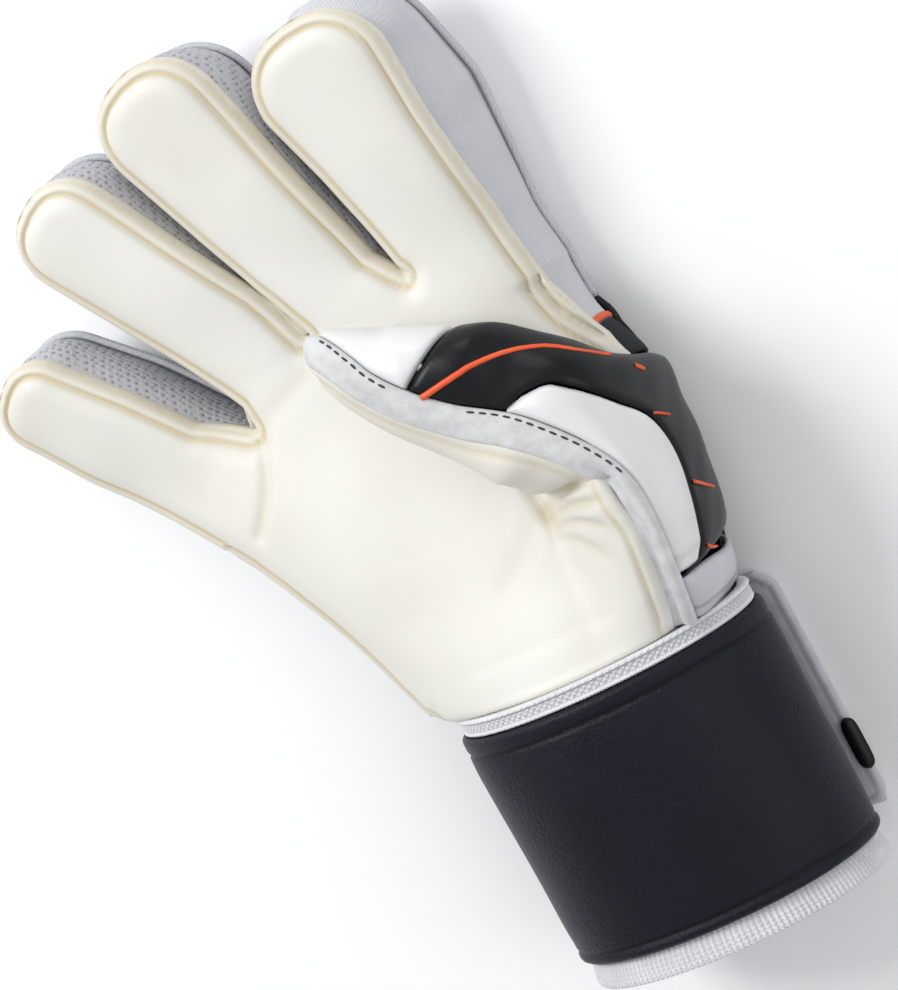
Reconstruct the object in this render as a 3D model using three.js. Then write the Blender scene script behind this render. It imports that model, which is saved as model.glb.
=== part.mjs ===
// A goalkeeper's glove for the right hand. It lies on its back, palm up, with the thumb folded over
// the palm. Lengths are in millimetres: x runs to the thumb side, y from the cuff to the
// fingertips, and z up from the surface that the glove lies on.
import * as THREE from 'three';

// Sizes that the tables below are shares of
const handSpan = 85;
const handReach = 200;
const handDepth = 62;
const fingerLength = 82;
const fingerHalf = 17.8;
const thumbRadius = 30;

// Sheets of cloth and foam
const latexThick = 4.5;
const thumbLatexThick = 3.6;
const backThick = 2.5;
const gussetThick = 1.4;
const panelThick = 2;
const bindingThick = 1.4;
const bindingRise = 0.5;
const bindingHalf = 2.5;
const clearance = 0.4;
const seatGap = 1.2;
const backSeatGap = 2;
const crotchDip = 1.8;
const crotchHalf = 0.9;
const endTrim = 1.5;

// The palm sheet's edge bends down, and the back's edge bends up
const palmDrop = 5.5;
const palmDropReach = 10;
const ridgeDrop = 3;
const ridgeDropReach = 5;
const backLift = 8;
const backLiftReach = 14;
const wristLift = 3.5;
const palmFlange = 1.2;
const backFlange = 2.5;
const gussetBulge = 1.6;
const gapShare = 0.3;

// Each finger curls up a little and rolls to the little finger's side
const palmCurl = 6;
const backCurl = 12;
const fingerRoll = 2.4;
const rollShift = 7.2;
const backWider = 0.3;
const backLonger = 2.5;
const crotchBack = 4;
const heelShift = 6.5;
const tipPower = 2.3;
const tipShare = 0.95;

// Where the thumb's side rises out of the palm
const thenarStart = 8;
const slitX = 10.5;
const slitY = 129.5;
const webX = 44;
const webY = 150;
const webBackX = 46.5;
const webBackY = 147;

// Cuff, strap and closure
const wristY = 83;
const cuffCentreZ = 31.2;
const strapStart = 8;
const strapEnd = 78;
const strapHalfWide = 46.7;
const strapThick = 3;
const knitThick = 2.2;
const tailStart = 7;
const tailEnd = 80;
const tailInner = 20;
const tailOuter = 43.5;
const tailThick = 2.4;
const tabStart = 20;
const tabEnd = 37;
const tabWide = 6;
const tabThick = 1.2;

// Each finger: where its axis starts, its turn from straight ahead in degrees, its length, its half
// width at the root, the middle and the tip, and where its left and right edges start
const fingers = {
  little: {
    x: -0.894, y: 0.835, yaw: 37, length: 0.793, left: -0.098, right: 0.159,
    root: 0.843, mid: 0.82, tip: 0.764,
  },
  ring: {
    x: -0.576, y: 0.965, yaw: 29, length: 0.902, left: -0.037, right: 0.073,
    root: 0.82, mid: 0.854, tip: 0.876,
  },
  middle: {
    x: -0.206, y: 0.99, yaw: 16.5, length: 1, left: 0, right: 0.037,
    root: 0.837, mid: 0.955, tip: 1,
  },
  index: {
    x: 0.191, y: 0.96, yaw: 8, length: 0.927, left: 0.11, right: -0.171,
    root: 0.854, mid: 0.955, tip: 1.045,
  },
};

// The hand, row by row from the wrist: the palm's edges and the heights of its face
const palmRows = [
  { y: 0.41, left: -0.541, right: 0.345, zLeft: 0.613, zMid: 0.935, zRight: 0.815, thenar: 0 },
  { y: 0.43, left: -0.618, right: 0.365, zLeft: 0.597, zMid: 0.903, zRight: 0.798, thenar: 0.048 },
  { y: 0.475, left: -0.665, right: 0.393, zLeft: 0.581, zMid: 0.855, zRight: 0.758, thenar: 0.145 },
  { y: 0.56, left: -0.724, right: 0.431, zLeft: 0.565, zMid: 0.758, zRight: 0.677, thenar: 0.306 },
  { y: 0.645, left: -0.818, right: 0.419, zLeft: 0.548, zMid: 0.677, zRight: 0.597, thenar: 0.403 },
  { y: 0.75, left: -0.953, right: 0.518, zLeft: 0.516, zMid: 0.597, zRight: 0.5, thenar: 0.161 },
  { y: 0.85, left: -1.012, right: 0.459, zLeft: 0.484, zMid: 0.516, zRight: 0.468, thenar: 0 },
  { y: 0.95, left: -1.012, right: 0.4, zLeft: 0.468, zMid: 0.468, zRight: 0.468, thenar: 0 },
];

// The thumb's side, row by row from the wrist to the thumb's tip: the seam (l), the end of its
// back (b), the end of its underside (u), and how far each bulges
const thumbRows = [
  {
    lx: 0.385, ly: 0.42, lz: 0.823, bx: 0.435, by: 0.422, bz: 0.235,
    ux: 0.235, uy: 0.42, uz: 0.726, back: 0.167, under: 0,
  },
  {
    lx: 0.414, ly: 0.453, lz: 0.903, bx: 0.447, by: 0.458, bz: 0.213,
    ux: 0.271, uy: 0.453, uz: 0.806, back: 0.2, under: 0,
  },
  {
    lx: 0.451, ly: 0.515, lz: 0.984, bx: 0.482, by: 0.52, bz: 0.177,
    ux: 0.306, uy: 0.515, uz: 0.887, back: 0.217, under: 0,
  },
  {
    lx: 0.471, ly: 0.58, lz: 1.016, bx: 0.506, by: 0.585, bz: 0.177,
    ux: 0.329, uy: 0.58, uz: 0.919, back: 0.233, under: 0,
  },
  {
    lx: 0.462, ly: 0.635, lz: 1.032, bx: 0.518, by: 0.65, bz: 0.177,
    ux: 0.141, uy: 0.647, uz: 0.685, back: 0.267, under: 0.117,
  },
  {
    lx: 0.407, ly: 0.683, lz: 1.04, bx: 0.535, by: 0.71, bz: 0.202,
    ux: 0.129, uy: 0.657, uz: 0.702, back: 0.4, under: 0.2,
  },
  {
    lx: 0.321, ly: 0.728, lz: 1.04, bx: 0.447, by: 0.718, bz: 0.484,
    ux: 0.129, uy: 0.675, uz: 0.702, back: 0.617, under: 0.3,
  },
  {
    lx: 0.224, ly: 0.765, lz: 1.04, bx: 0.294, by: 0.72, bz: 0.637,
    ux: 0.165, uy: 0.72, uz: 0.677, back: 0.75, under: 0.5,
  },
  {
    lx: 0.089, ly: 0.802, lz: 1.032, bx: 0.141, by: 0.8, bz: 0.645,
    ux: 0.124, uy: 0.792, uz: 0.645, back: 0.7, under: 0.517,
  },
  {
    lx: -0.034, ly: 0.848, lz: 1.024, bx: -0.004, by: 0.861, bz: 0.653,
    ux: -0.018, uy: 0.855, uz: 0.653, back: 0.527, under: 0.477,
  },
  {
    lx: -0.115, ly: 0.887, lz: 1, bx: -0.094, by: 0.9, bz: 0.677,
    ux: -0.106, uy: 0.895, uz: 0.677, back: 0.4, under: 0.433,
  },
  {
    lx: -0.162, ly: 0.918, lz: 0.968, bx: -0.158, by: 0.924, bz: 0.71,
    ux: -0.168, uy: 0.92, uz: 0.71, back: 0.267, under: 0.383,
  },
  {
    lx: -0.206, ly: 0.942, lz: 0.919, bx: -0.215, by: 0.94, bz: 0.742,
    ux: -0.226, uy: 0.936, uz: 0.742, back: 0.183, under: 0.283,
  },
  {
    lx: -0.241, ly: 0.956, lz: 0.871, bx: -0.247, by: 0.953, bz: 0.774,
    ux: -0.256, uy: 0.95, uz: 0.774, back: 0.117, under: 0.2,
  },
  {
    lx: -0.274, ly: 0.966, lz: 0.819, bx: -0.271, by: 0.965, bz: 0.8,
    ux: -0.276, uy: 0.963, uz: 0.8, back: 0.033, under: 0.033,
  },
];

// The points between two fingers where their edges meet
const crotches = [
  { x: -0.712, y: 0.8825 },
  { x: -0.394, y: 0.965 },
  { x: -0.012, y: 0.9825 },
];

// The back's edge on the thumb side, from the wrist to the index finger
const backEdge = [
  { y: 0.41, x: 0.441 },
  { y: 0.52, x: 0.488 },
  { y: 0.65, x: 0.524 },
  { y: 0.735, x: 0.547 },
  { y: 0.82, x: 0.53 },
  { y: 0.89, x: 0.488 },
];

// The part of the thumb's back that the base panel covers, as a share of its width
const basePanelRows = [
  { t: 1.62, share: 0.2 },
  { t: 1.9, share: 0.3 },
  { t: 2.8, share: 0.375 },
  { t: 3.6, share: 0.415 },
  { t: 4.3, share: 0.39 },
  { t: 5, share: 0.285 },
  { t: 5.9, share: 0.235 },
  { t: 6.4, share: 0.2 },
  { t: 6.8, share: 0.1 },
  { t: 7, share: 0.03 },
];

// The knitted tube's half width and half height along the cuff
const cuffRows = [
  { y: 0, wide: 45, high: 29.2 },
  { y: 4, wide: 44.4, high: 28.8 },
  { y: 7.5, wide: 43.2, high: 27.7 },
  { y: 76, wide: 43.2, high: 27.7 },
  { y: 78.2, wide: 40.6, high: 24.2 },
  { y: 81.8, wide: 36.5, high: 17.8 },
  { y: 87, wide: 36, high: 17 },
];

const fingerNames = ['little', 'ring', 'middle', 'index'];
const columnShares = [0, 0.1, 0.32, 0.5, 0.68, 0.9];
const fingerSteps = 12;
const lowSteps = 5;
const highSteps = [0, 0.35, 0.7, 0.93, 1];
const thumbStart = 4.3;
const thumbStop = 13.45;
const bindingStop = 13.7;
const fabricStop = 1.5;
const lastRow = thumbRows.length - 1;
const seamOffset = bindingHalf + clearance;

// Small sums on points held as lists of three numbers
const mix = (a, b, t) => a + (b - a) * t;
const clamp = (v, low, high) => Math.min(high, Math.max(low, v));
const add = (a, b, scale = 1) => a.map((v, i) => v + b[i] * scale);
const less = (a, b) => add(a, b, -1);
const between = (a, b, t) => a.map((v, i) => mix(v, b[i], t));
const length = (a) => Math.hypot(...a);
const dot = (a, b) => a.reduce((sum, v, i) => sum + v * b[i], 0);
const unit = (a) => a.map((v) => v / (length(a) || 1));
const smooth = (low, high, v) => {
  const t = clamp((v - low) / (high - low), 0, 1);
  return t * t * (3 - 2 * t);
};
const cross = (a, b) => [
  a[1] * b[2] - a[2] * b[1],
  a[2] * b[0] - a[0] * b[2],
  a[0] * b[1] - a[1] * b[0],
];

// One column of a table as a smooth curve, read at a row number that may be a fraction
function curveAt(rows, column, t) {
  const last = rows.length - 1;
  const k = clamp(Math.floor(t), 0, last - 1);
  const value = (i) => rows[clamp(i, 0, last)][column];
  const f = clamp(t - k, 0, 1);
  const p0 = value(k - 1);
  const p1 = value(k);
  const p2 = value(k + 1);
  const p3 = value(k + 2);
  const bend = (p2 - p0) * f + (2 * p0 - 5 * p1 + 4 * p2 - p3) * f * f;
  return p1 + 0.5 * (bend + (3 * p1 - p0 - 3 * p2 + p3) * f * f * f);
}

// The row number at which a table's leading column reaches a value
function rowAt(rows, lead, value) {
  const last = rows.length - 1;
  let k = 0;
  while (k < last - 1 && rows[k + 1][lead] < value) k += 1;
  return k + clamp((value - rows[k][lead]) / (rows[k + 1][lead] - rows[k][lead]), 0, 1);
}

// A sheet of cloth or foam: pairs of points, outer and inner, joined in cells, closed by a rim
class Sheet {
  constructor() {
    this.pairs = [];
    this.faces = [];
    this.known = new Map();
  }

  number(pair) {
    const key = pair.outer.concat(pair.inner).map((v) => Math.round(v * 200)).join(' ');
    if (!this.known.has(key)) {
      this.known.set(key, this.pairs.length);
      this.pairs.push(pair);
    }
    return this.known.get(key);
  }

  addGrid(rows) {
    for (let i = 1; i < rows.length; i += 1) {
      for (let j = 1; j < rows[i].length; j += 1) {
        const a = this.number(rows[i - 1][j - 1]);
        const b = this.number(rows[i - 1][j]);
        const c = this.number(rows[i][j]);
        const d = this.number(rows[i][j - 1]);
        this.addFace(a, b, c);
        this.addFace(a, c, d);
      }
    }
    return this;
  }

  addFace(a, b, c) {
    if (a !== b && b !== c && c !== a) this.faces.push([a, b, c]);
  }

  // Both faces, and two triangles for each edge that only one cell has
  geometry() {
    const count = this.pairs.length;
    const edges = new Set();
    const triangles = [];
    for (const [a, b, c] of this.faces) {
      triangles.push([a, b, c], [c + count, b + count, a + count]);
      for (const [p, q] of [[a, b], [b, c], [c, a]]) edges.add(`${p} ${q}`);
    }
    for (const [a, b, c] of this.faces) {
      for (const [p, q] of [[a, b], [b, c], [c, a]]) {
        if (!edges.has(`${q} ${p}`)) {
          triangles.push([q, p, p + count], [q, p + count, q + count]);
        }
      }
    }
    const points = this.pairs.map((pair) => pair.outer).concat(this.pairs.map((pair) => pair.inner));
    return solid(points, triangles);
  }
}

// A closed solid from points and triangles, turned so that its faces point outwards
function solid(points, triangles) {
  let volume = 0;
  for (const [a, b, c] of triangles) {
    const turned = cross(points[b], points[c]);
    volume += points[a][0] * turned[0] + points[a][1] * turned[1] + points[a][2] * turned[2];
  }
  const faces = volume > 0 ? triangles : triangles.map(([a, b, c]) => [a, c, b]);
  const geometry = new THREE.BufferGeometry();
  geometry.setAttribute('position', new THREE.Float32BufferAttribute(points.flat(), 3));
  geometry.setIndex(faces.flat());
  geometry.computeVertexNormals();
  return geometry;
}

// A finger's axis and widths, on the palm side or on the back, which is shifted by the roll
function fingerFrame(name, isBack) {
  const row = fingers[name];
  const turn = THREE.MathUtils.degToRad(row.yaw);
  const along = [-Math.sin(turn), Math.cos(turn)];
  const across = [Math.cos(turn), Math.sin(turn)];
  const shift = isBack ? rollShift : 0;
  const wider = isBack ? backWider : 0;
  return {
    along,
    across,
    root: [row.x * handSpan + across[0] * shift, row.y * handReach + across[1] * shift],
    length: row.length * fingerLength + (isBack ? backLonger : 0),
    halves: [row.root, row.mid, row.tip].map((share) => share * fingerHalf + wider),
    starts: [row.left * fingerLength, row.right * fingerLength],
  };
}

// A finger's half width at a distance along its axis, with a round tip
function halfWidth(frame, distance) {
  const share = distance / frame.length;
  const [root, mid, tip] = frame.halves;
  const plain = share < 0.5
    ? mix(root, mid, clamp(share, 0, 1) / 0.5)
    : mix(mid, tip, clamp((share - 0.5) / 0.28, 0, 1));
  const roundStart = frame.length - tipShare * tip;
  const round = clamp((distance - roundStart) / (frame.length - roundStart), 0, 1);
  return plain * (1 - round ** tipPower) ** (1 / tipPower);
}

// A point on a finger's left (-1) or right (1) edge, from its start (0) to the tip (1)
function fingerEdge(name, isBack, sign, t) {
  const frame = fingerFrame(name, isBack);
  const start = frame.starts[sign < 0 ? 0 : 1];
  const distance = mix(start, frame.length, 1 - (1 - t) ** 1.5);
  const half = sign * halfWidth(frame, distance);
  return [0, 1].map((i) => frame.root[i] + frame.along[i] * distance + frame.across[i] * half);
}

// The points where two fingers part
function crotchPoint(k, isBack) {
  const shift = isBack ? rollShift * 0.7 : 0;
  return [crotches[k].x * handSpan + shift, crotches[k].y * handReach - (isBack ? crotchBack : 0)];
}

// The four fingers' roots as one line of five points
function rootLine(isBack) {
  return [
    fingerEdge('little', isBack, -1, 0),
    crotchPoint(0, isBack),
    crotchPoint(1, isBack),
    crotchPoint(2, isBack),
    fingerEdge('index', isBack, 1, 0),
  ];
}

// The little finger's side of the hand and the thumb's side of the hand
function heelEdge(y, isBack) {
  const t = rowAt(palmRows, 'y', y / handReach);
  return [curveAt(palmRows, 'left', t) * handSpan + (isBack ? heelShift : 0), y];
}

function thumbSideEdge(y, isBack) {
  const rows = isBack ? backEdge : palmRows;
  const t = rowAt(rows, 'y', y / handReach);
  return [curveAt(rows, isBack ? 'x' : 'right', t) * handSpan, y];
}

// The side strips' routes: matching points on the palm's edge and on the back's edge
const stepsUp = Array.from({ length: fingerSteps + 1 }, (_, i) => i / fingerSteps);
const stepsDown = [...stepsUp].reverse();
const heelSteps = [0.03, 0.12, 0.3, 0.5, 0.7, 0.88];
const webSteps = [0.25, 0.5, 0.75, 1];

function fingerSide(name, sign, steps) {
  return steps.map((t) => ({
    palm: fingerEdge(name, false, sign, t),
    back: fingerEdge(name, true, sign, t),
  }));
}

// The bottom of the gap between two fingers is as wide as two points, one to each side
function crotchPairs(k) {
  const point = (isBack, sign) => {
    const left = fingerEdge(fingerNames[k], isBack, 1, 0);
    const right = fingerEdge(fingerNames[k + 1], isBack, -1, 0);
    return add(crotchPoint(k, isBack), unit(less(right, left)), sign * crotchHalf);
  };
  return [-1, 1].map((sign) => ({ palm: point(false, sign), back: point(true, sign) }));
}

function heelPairs() {
  const palmEnd = fingerEdge('little', false, -1, 0);
  const backEnd = fingerEdge('little', true, -1, 0);
  return heelSteps.map((t) => ({
    palm: heelEdge(mix(wristY, palmEnd[1], t), false),
    back: heelEdge(mix(wristY, backEnd[1], t), true),
  }));
}

function webPairs() {
  const palmStart = fingerEdge('index', false, 1, 0);
  const backStart = fingerEdge('index', true, 1, 0);
  return webSteps.map((t) => ({
    palm: thumbSideEdge(mix(palmStart[1], webY, t), false),
    back: thumbSideEdge(mix(backStart[1], webBackY, t), true),
  }));
}

const routes = {
  little_outer: [...heelPairs(), ...fingerSide('little', -1, stepsUp)],
  little_ring: [
    ...fingerSide('little', 1, stepsDown), ...crotchPairs(0), ...fingerSide('ring', -1, stepsUp),
  ],
  ring_middle: [
    ...fingerSide('ring', 1, stepsDown), ...crotchPairs(1), ...fingerSide('middle', -1, stepsUp),
  ],
  middle_index: [
    ...fingerSide('middle', 1, stepsDown), ...crotchPairs(2), ...fingerSide('index', -1, stepsUp),
  ],
  index_outer: [...fingerSide('index', 1, stepsDown), ...webPairs()],
};

// The two outlines, and how far a point lies from one
const palmOutline = Object.values(routes).flat().map((pair) => pair.palm);
const lowerBackEdge = [135, 120, 105, 90, wristY].map((y) => thumbSideEdge(y, true));
const backOutline = Object.values(routes).flat().map((pair) => pair.back).concat(lowerBackEdge);
const ridgeLine = [wristY, 95, 108, 120, 129].map((y) => thumbSideEdge(y, false));

function distanceTo(line, x, y) {
  let best = Infinity;
  for (let k = 1; k < line.length; k += 1) {
    const [ax, ay] = line[k - 1];
    const dx = line[k][0] - ax;
    const dy = line[k][1] - ay;
    const t = clamp(((x - ax) * dx + (y - ay) * dy) / (dx * dx + dy * dy || 1), 0, 1);
    best = Math.min(best, Math.hypot(x - ax - dx * t, y - ay - dy * t));
  }
  return best;
}

const edgeBend = (distance, depth, reach) => depth * (1 - clamp(distance / reach, 0, 1)) ** 2;

// How far a finger's curl and roll raise a point
function fingerRaise(name, isBack, x, y) {
  if (!name) return 0;
  const frame = fingerFrame(name, isBack);
  const dx = x - frame.root[0];
  const dy = y - frame.root[1];
  const distance = Math.max(0, dx * frame.along[0] + dy * frame.along[1]);
  const side = clamp((dx * frame.across[0] + dy * frame.across[1]) / frame.halves[1], -1.2, 1.2);
  const curl = (isBack ? backCurl : palmCurl) * (distance / frame.length) ** 2;
  return curl + (isBack ? 0 : fingerRoll * side * smooth(0, 25, distance));
}

// The upper face of the palm sheet. Only the thumb's side of the slit rises to the ridge.
function palmTop(x, y, name, isThenar) {
  const t = rowAt(palmRows, 'y', y / handReach);
  const get = (column, size) => curveAt(palmRows, column, t) * size;
  const left = get('left', handSpan);
  const right = get('right', handSpan);
  const zLeft = get('zLeft', handDepth);
  const zMid = get('zMid', handDepth);
  const zRight = get('zRight', handDepth);
  const s = clamp((2 * x - left - right) / (right - left), -1.15, 1.15);
  const arch = zMid + ((zRight - zLeft) / 2) * s + ((zRight + zLeft) / 2 - zMid) * s * s;
  const rise = isThenar ? get('thenar', handDepth) * smooth(thenarStart, right, x) : 0;
  const ridge = isThenar ? edgeBend(distanceTo(ridgeLine, x, y), ridgeDrop, ridgeDropReach) : 0;
  const drop = edgeBend(distanceTo(palmOutline, x, y), palmDrop, palmDropReach);
  return arch + rise - ridge - drop + fingerRaise(name, false, x, y);
}

// The lower face of the back, which lies on the surface
function backBottom(x, y, name) {
  const lift = edgeBend(distanceTo(backOutline, x, y), backLift, backLiftReach);
  return lift + wristLift * smooth(105, wristY, y) + fingerRaise(name, true, x, y);
}

function palmPair([x, y], name, isThenar) {
  const z = palmTop(x, y, name, isThenar);
  return { outer: [x, y, z], inner: [x, y, z - latexThick] };
}

function backPair([x, y], name) {
  const z = backBottom(x, y, name);
  return { outer: [x, y, z], inner: [x, y, z + backThick] };
}

// Points along a line of corners, six to each stretch, and the last corner
function spread(corners) {
  const points = [];
  for (let k = 1; k < corners.length; k += 1) {
    for (const share of columnShares) points.push(between(corners[k - 1], corners[k], share));
  }
  points.push(corners[corners.length - 1]);
  return points;
}

function straightRow(left, right) {
  return spread([0, 0.25, 0.5, 0.75, 1].map((t) => between(left, right, t)));
}

// The rows of a finger from its root line to its tip
function fingerRows(name, isBack, start, inset) {
  const rows = [start];
  for (const t of stepsUp) {
    const left = fingerEdge(name, isBack, -1, t);
    const right = fingerEdge(name, isBack, 1, t);
    const reach = Math.max(length(less(right, left)), 0.001);
    const trim = Math.min(inset / reach, 0.5);
    rows.push([...columnShares, 1].map((s) => between(left, right, mix(trim, 1 - trim, s))));
  }
  return rows;
}

function palmSheet() {
  const sheet = new Sheet();
  const roots = spread(rootLine(false));
  const lowLeft = heelEdge(slitY, false);
  const slit = [slitX, slitY];
  const lip = straightRow(lowLeft, [slitX + (slitX - lowLeft[0]) / 3, slitY]);
  const slitColumn = 3 * columnShares.length;
  const lowRight = thumbSideEdge(slitY, false);
  const lowLip = lip.map((point, k) => (k <= slitColumn
    ? point
    : between(slit, lowRight, (point[0] - slitX) / (lip[lip.length - 1][0] - slitX))));
  const highLip = lip.map((point, k) => (k <= slitColumn
    ? point
    : between(slit, [webX, webY], (point[0] - slitX) / (lip[lip.length - 1][0] - slitX))));
  const lowRows = [];
  for (let i = 0; i < lowSteps; i += 1) {
    const y = mix(wristY, slitY, i / lowSteps);
    const row = straightRow(heelEdge(y, false), thumbSideEdge(y, false));
    lowRows.push(row.map((point) => palmPair(point, null, true)));
  }
  lowRows.push(lowLip.map((point, k) => palmPair(point, null, k > slitColumn)));
  sheet.addGrid(lowRows);
  const highRows = [];
  for (const t of highSteps) {
    const y = mix(slitY, rootLine(false)[0][1], t);
    const row = highLip.map((point, k) => between(point, roots[k], t));
    row[0] = t === 0 ? row[0] : heelEdge(y, false);
    highRows.push(row.map((point) => palmPair(point, null, false)));
  }
  sheet.addGrid(highRows);
  const width = columnShares.length;
  fingerNames.forEach((name, f) => {
    const start = roots.slice(f * width, (f + 1) * width + 1);
    const rows = fingerRows(name, false, start, 0);
    sheet.addGrid(rows.map((row, i) => row.map((point) => palmPair(point, i ? name : null, false))));
  });
  return sheet.geometry();
}

function fingerBack(name) {
  const line = rootLine(true);
  const f = fingerNames.indexOf(name);
  const trim = clearance / 2 / length(less(line[f + 1], line[f]));
  const start = [...columnShares, 1].map((s) => between(line[f], line[f + 1], mix(trim, 1 - trim, s)));
  const rows = fingerRows(name, true, start, clearance / 2);
  return new Sheet().addGrid(rows.map((row) => row.map((point) => backPair(point, name)))).geometry();
}

function backhandPanel() {
  const top = spread(rootLine(true)).map(([x, y]) => [x, y - clearance]);
  const rows = [];
  for (const t of [0, 0.1, 0.24, 0.38, 0.52, 0.66, 0.8, 0.95, 1]) {
    const low = mix(wristY, top[0][1], t);
    const high = mix(wristY, top[top.length - 1][1], t);
    const row = straightRow(heelEdge(low, true), thumbSideEdge(high, true));
    const bend = smooth(0.3, 1, t);
    rows.push(row.map((point, k) => backPair(between(point, top[k], bend), null)));
  }
  return new Sheet().addGrid(rows).geometry();
}

// The finger that a side strip's point belongs to
function routeNames(key) {
  const steps = fingerSteps + 1;
  const [first, second] = key.split('_');
  if (key === 'little_outer') return [...heelSteps.map(() => null), ...stepsUp.map(() => 'little')];
  if (key === 'index_outer') return [...stepsUp.map(() => 'index'), ...webSteps.map(() => null)];
  return [...Array(steps).fill(first), null, null, ...Array(steps).fill(second)];
}

// The direction of a line of points at one of them, halfway between its two stretches
function heading(points, i) {
  const before = i > 0 ? unit(less(points[i], points[i - 1])) : null;
  const after = i < points.length - 1 ? unit(less(points[i + 1], points[i])) : null;
  return before && after ? add(before, after) : before || after;
}

// A sheet from a grid of outer points, thickened against the side that it faces
function thickened(grid, thick, facing) {
  const lastColumn = grid[0].length - 1;
  const rows = grid.map((row, i) => row.map((outer, j) => {
    const ahead = heading(grid.map((points) => points[j]), i);
    const side = less(grid[i][Math.min(j + 1, lastColumn)], grid[i][Math.max(j - 1, 0)]);
    const normal = unit(cross(ahead, side));
    const turned = dot(normal, facing[i]) < 0 ? thick : -thick;
    return { outer, inner: add(outer, normal, turned) };
  }));
  return new Sheet().addGrid(rows).geometry();
}

// A side strip's route without doubled points, and the place of its first crotch point
function stripRoute(key) {
  const names = routeNames(key);
  const pairs = routes[key].map((pair, i) => ({ ...pair, name: names[i] }));
  const isNew = (pair, i) => i === 0 || length(less(pair.palm, pairs[i - 1].palm)) > 0.2;
  const route = pairs.filter(isNew);
  const isCrotch = (pair, i) => !pair.name && route[i - 1]?.name && route[i + 2]?.name;
  return { route, crotch: route.findIndex(isCrotch) };
}

// A side strip from the palm's edge down to the back's edge, bulging outwards as far as the gap
// between two fingers has room
function gusset(key) {
  const { route, crotch } = stripRoute(key);
  const last = route.length - 1;
  const outward = (side, i) => {
    const isEnd = i === 0 || i === last;
    if (isEnd && route[i].name) return fingerFrame(route[i].name, false).along;
    const [x, y] = unit(heading(route.map((pair) => pair[side]), i));
    return [-y, x];
  };
  const room = (side, i) => {
    if (crotch < 0) return Infinity;
    const other = i <= crotch ? route.slice(crotch + 1) : route.slice(0, crotch + 1);
    return distanceTo(other.map((pair) => pair[side]), ...route[i][side]);
  };
  const grid = route.map((pair, i) => {
    const end = i === 0 ? 1 : last - 1;
    const trim = i === 0 || i === last ? endTrim / length(less(route[end].palm, pair.palm)) : 0;
    const palm = between(pair.palm, route[end].palm, trim);
    const back = between(pair.back, route[end].back, trim);
    const palmOut = outward('palm', i);
    const backOut = outward('back', i);
    const low = add(back, backOut, -backFlange);
    const high = add(palm, palmOut, -palmFlange);
    const dip = crotch > 0 && Math.abs(i - crotch - 0.5) < 2 ? crotchDip : 0;
    const lowZ = backBottom(low[0], low[1], pair.name) + backThick + backSeatGap + dip / 3;
    const highZ = palmTop(high[0], high[1], pair.name, false) - latexThick - seatGap - dip;
    const swell = Math.min(gussetBulge, gapShare * room('palm', i), gapShare * room('back', i));
    return [0, 0.3, 0.7, 1].map((t) => {
      const out = unit(between(backOut, palmOut, t));
      const flat = add(between(low, high, t), out, swell * Math.sin(Math.PI * t));
      return [...flat, mix(lowZ, highZ, t)];
    });
  });
  return thickened(grid, gussetThick, route.map((_, i) => [...outward('palm', i), 0]));
}

// The thumb: from its seam (l) a half section goes over its back (b) or its underside (u)
function thumbHalf(t, isUnder, count = 28) {
  const get = (column, size) => curveAt(thumbRows, column, t) * size;
  const read = (k) => [get(`${k}x`, handSpan), get(`${k}y`, handReach), get(`${k}z`, handDepth)];
  const seam = read('l');
  const end = read(isUnder ? 'u' : 'b');
  const step = 0.05;
  const near = (dt) => ['lx', 'ly', 'lz'].map((column, i) => (
    curveAt(thumbRows, column, clamp(t + dt, 0, lastRow)) * [handSpan, handReach, handDepth][i]));
  const ahead = less(near(step), near(-step));
  const chord = less(end, seam);
  const out = unit(cross(ahead, chord)).map((v) => (isUnder ? v : -v));
  const bulge = get(isUnder ? 'under' : 'back', thumbRadius);
  const points = [];
  for (let k = 0; k <= count; k += 1) {
    const w = k / count;
    const along = add(seam, chord, (1 - Math.cos(Math.PI * w)) / 2);
    points.push(add(along, out, bulge * Math.sin(Math.PI * w) ** 0.85));
  }
  return points;
}

// A point of the thumb at a share of a half section's length, measured along the section
function thumbPoint(t, isUnder, share, offset = 0) {
  const points = thumbHalf(t, isUnder);
  const lengths = [0];
  for (let k = 1; k < points.length; k += 1) {
    lengths.push(lengths[k - 1] + length(less(points[k], points[k - 1])));
  }
  const total = lengths[lengths.length - 1];
  const from = offset * Math.min(1, (total * 0.45) / seamOffset);
  const goal = clamp(mix(from, total, share), 0, total);
  let k = 1;
  while (k < points.length - 1 && lengths[k] < goal) k += 1;
  const part = (goal - lengths[k - 1]) / (lengths[k] - lengths[k - 1] || 1);
  const point = between(points[k - 1], points[k], part);
  if (!isUnder || t > 5.3) return point;
  // Near the palm the underside starts as a continuation of the palm's own face
  const seam = points[0];
  const lipEnd = [slitX + 1, mix(seam[1], slitY + 1, smooth(3, 4, t))];
  const lip = between(seam.slice(0, 2), lipEnd, mix(offset / (seam[0] - slitX - 1), 1, share));
  const lipZ = palmTop(lip[0], Math.min(lip[1], slitY), null, true);
  return between([...lip, lipZ], point, smooth(4, 5.3, t));
}

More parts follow.
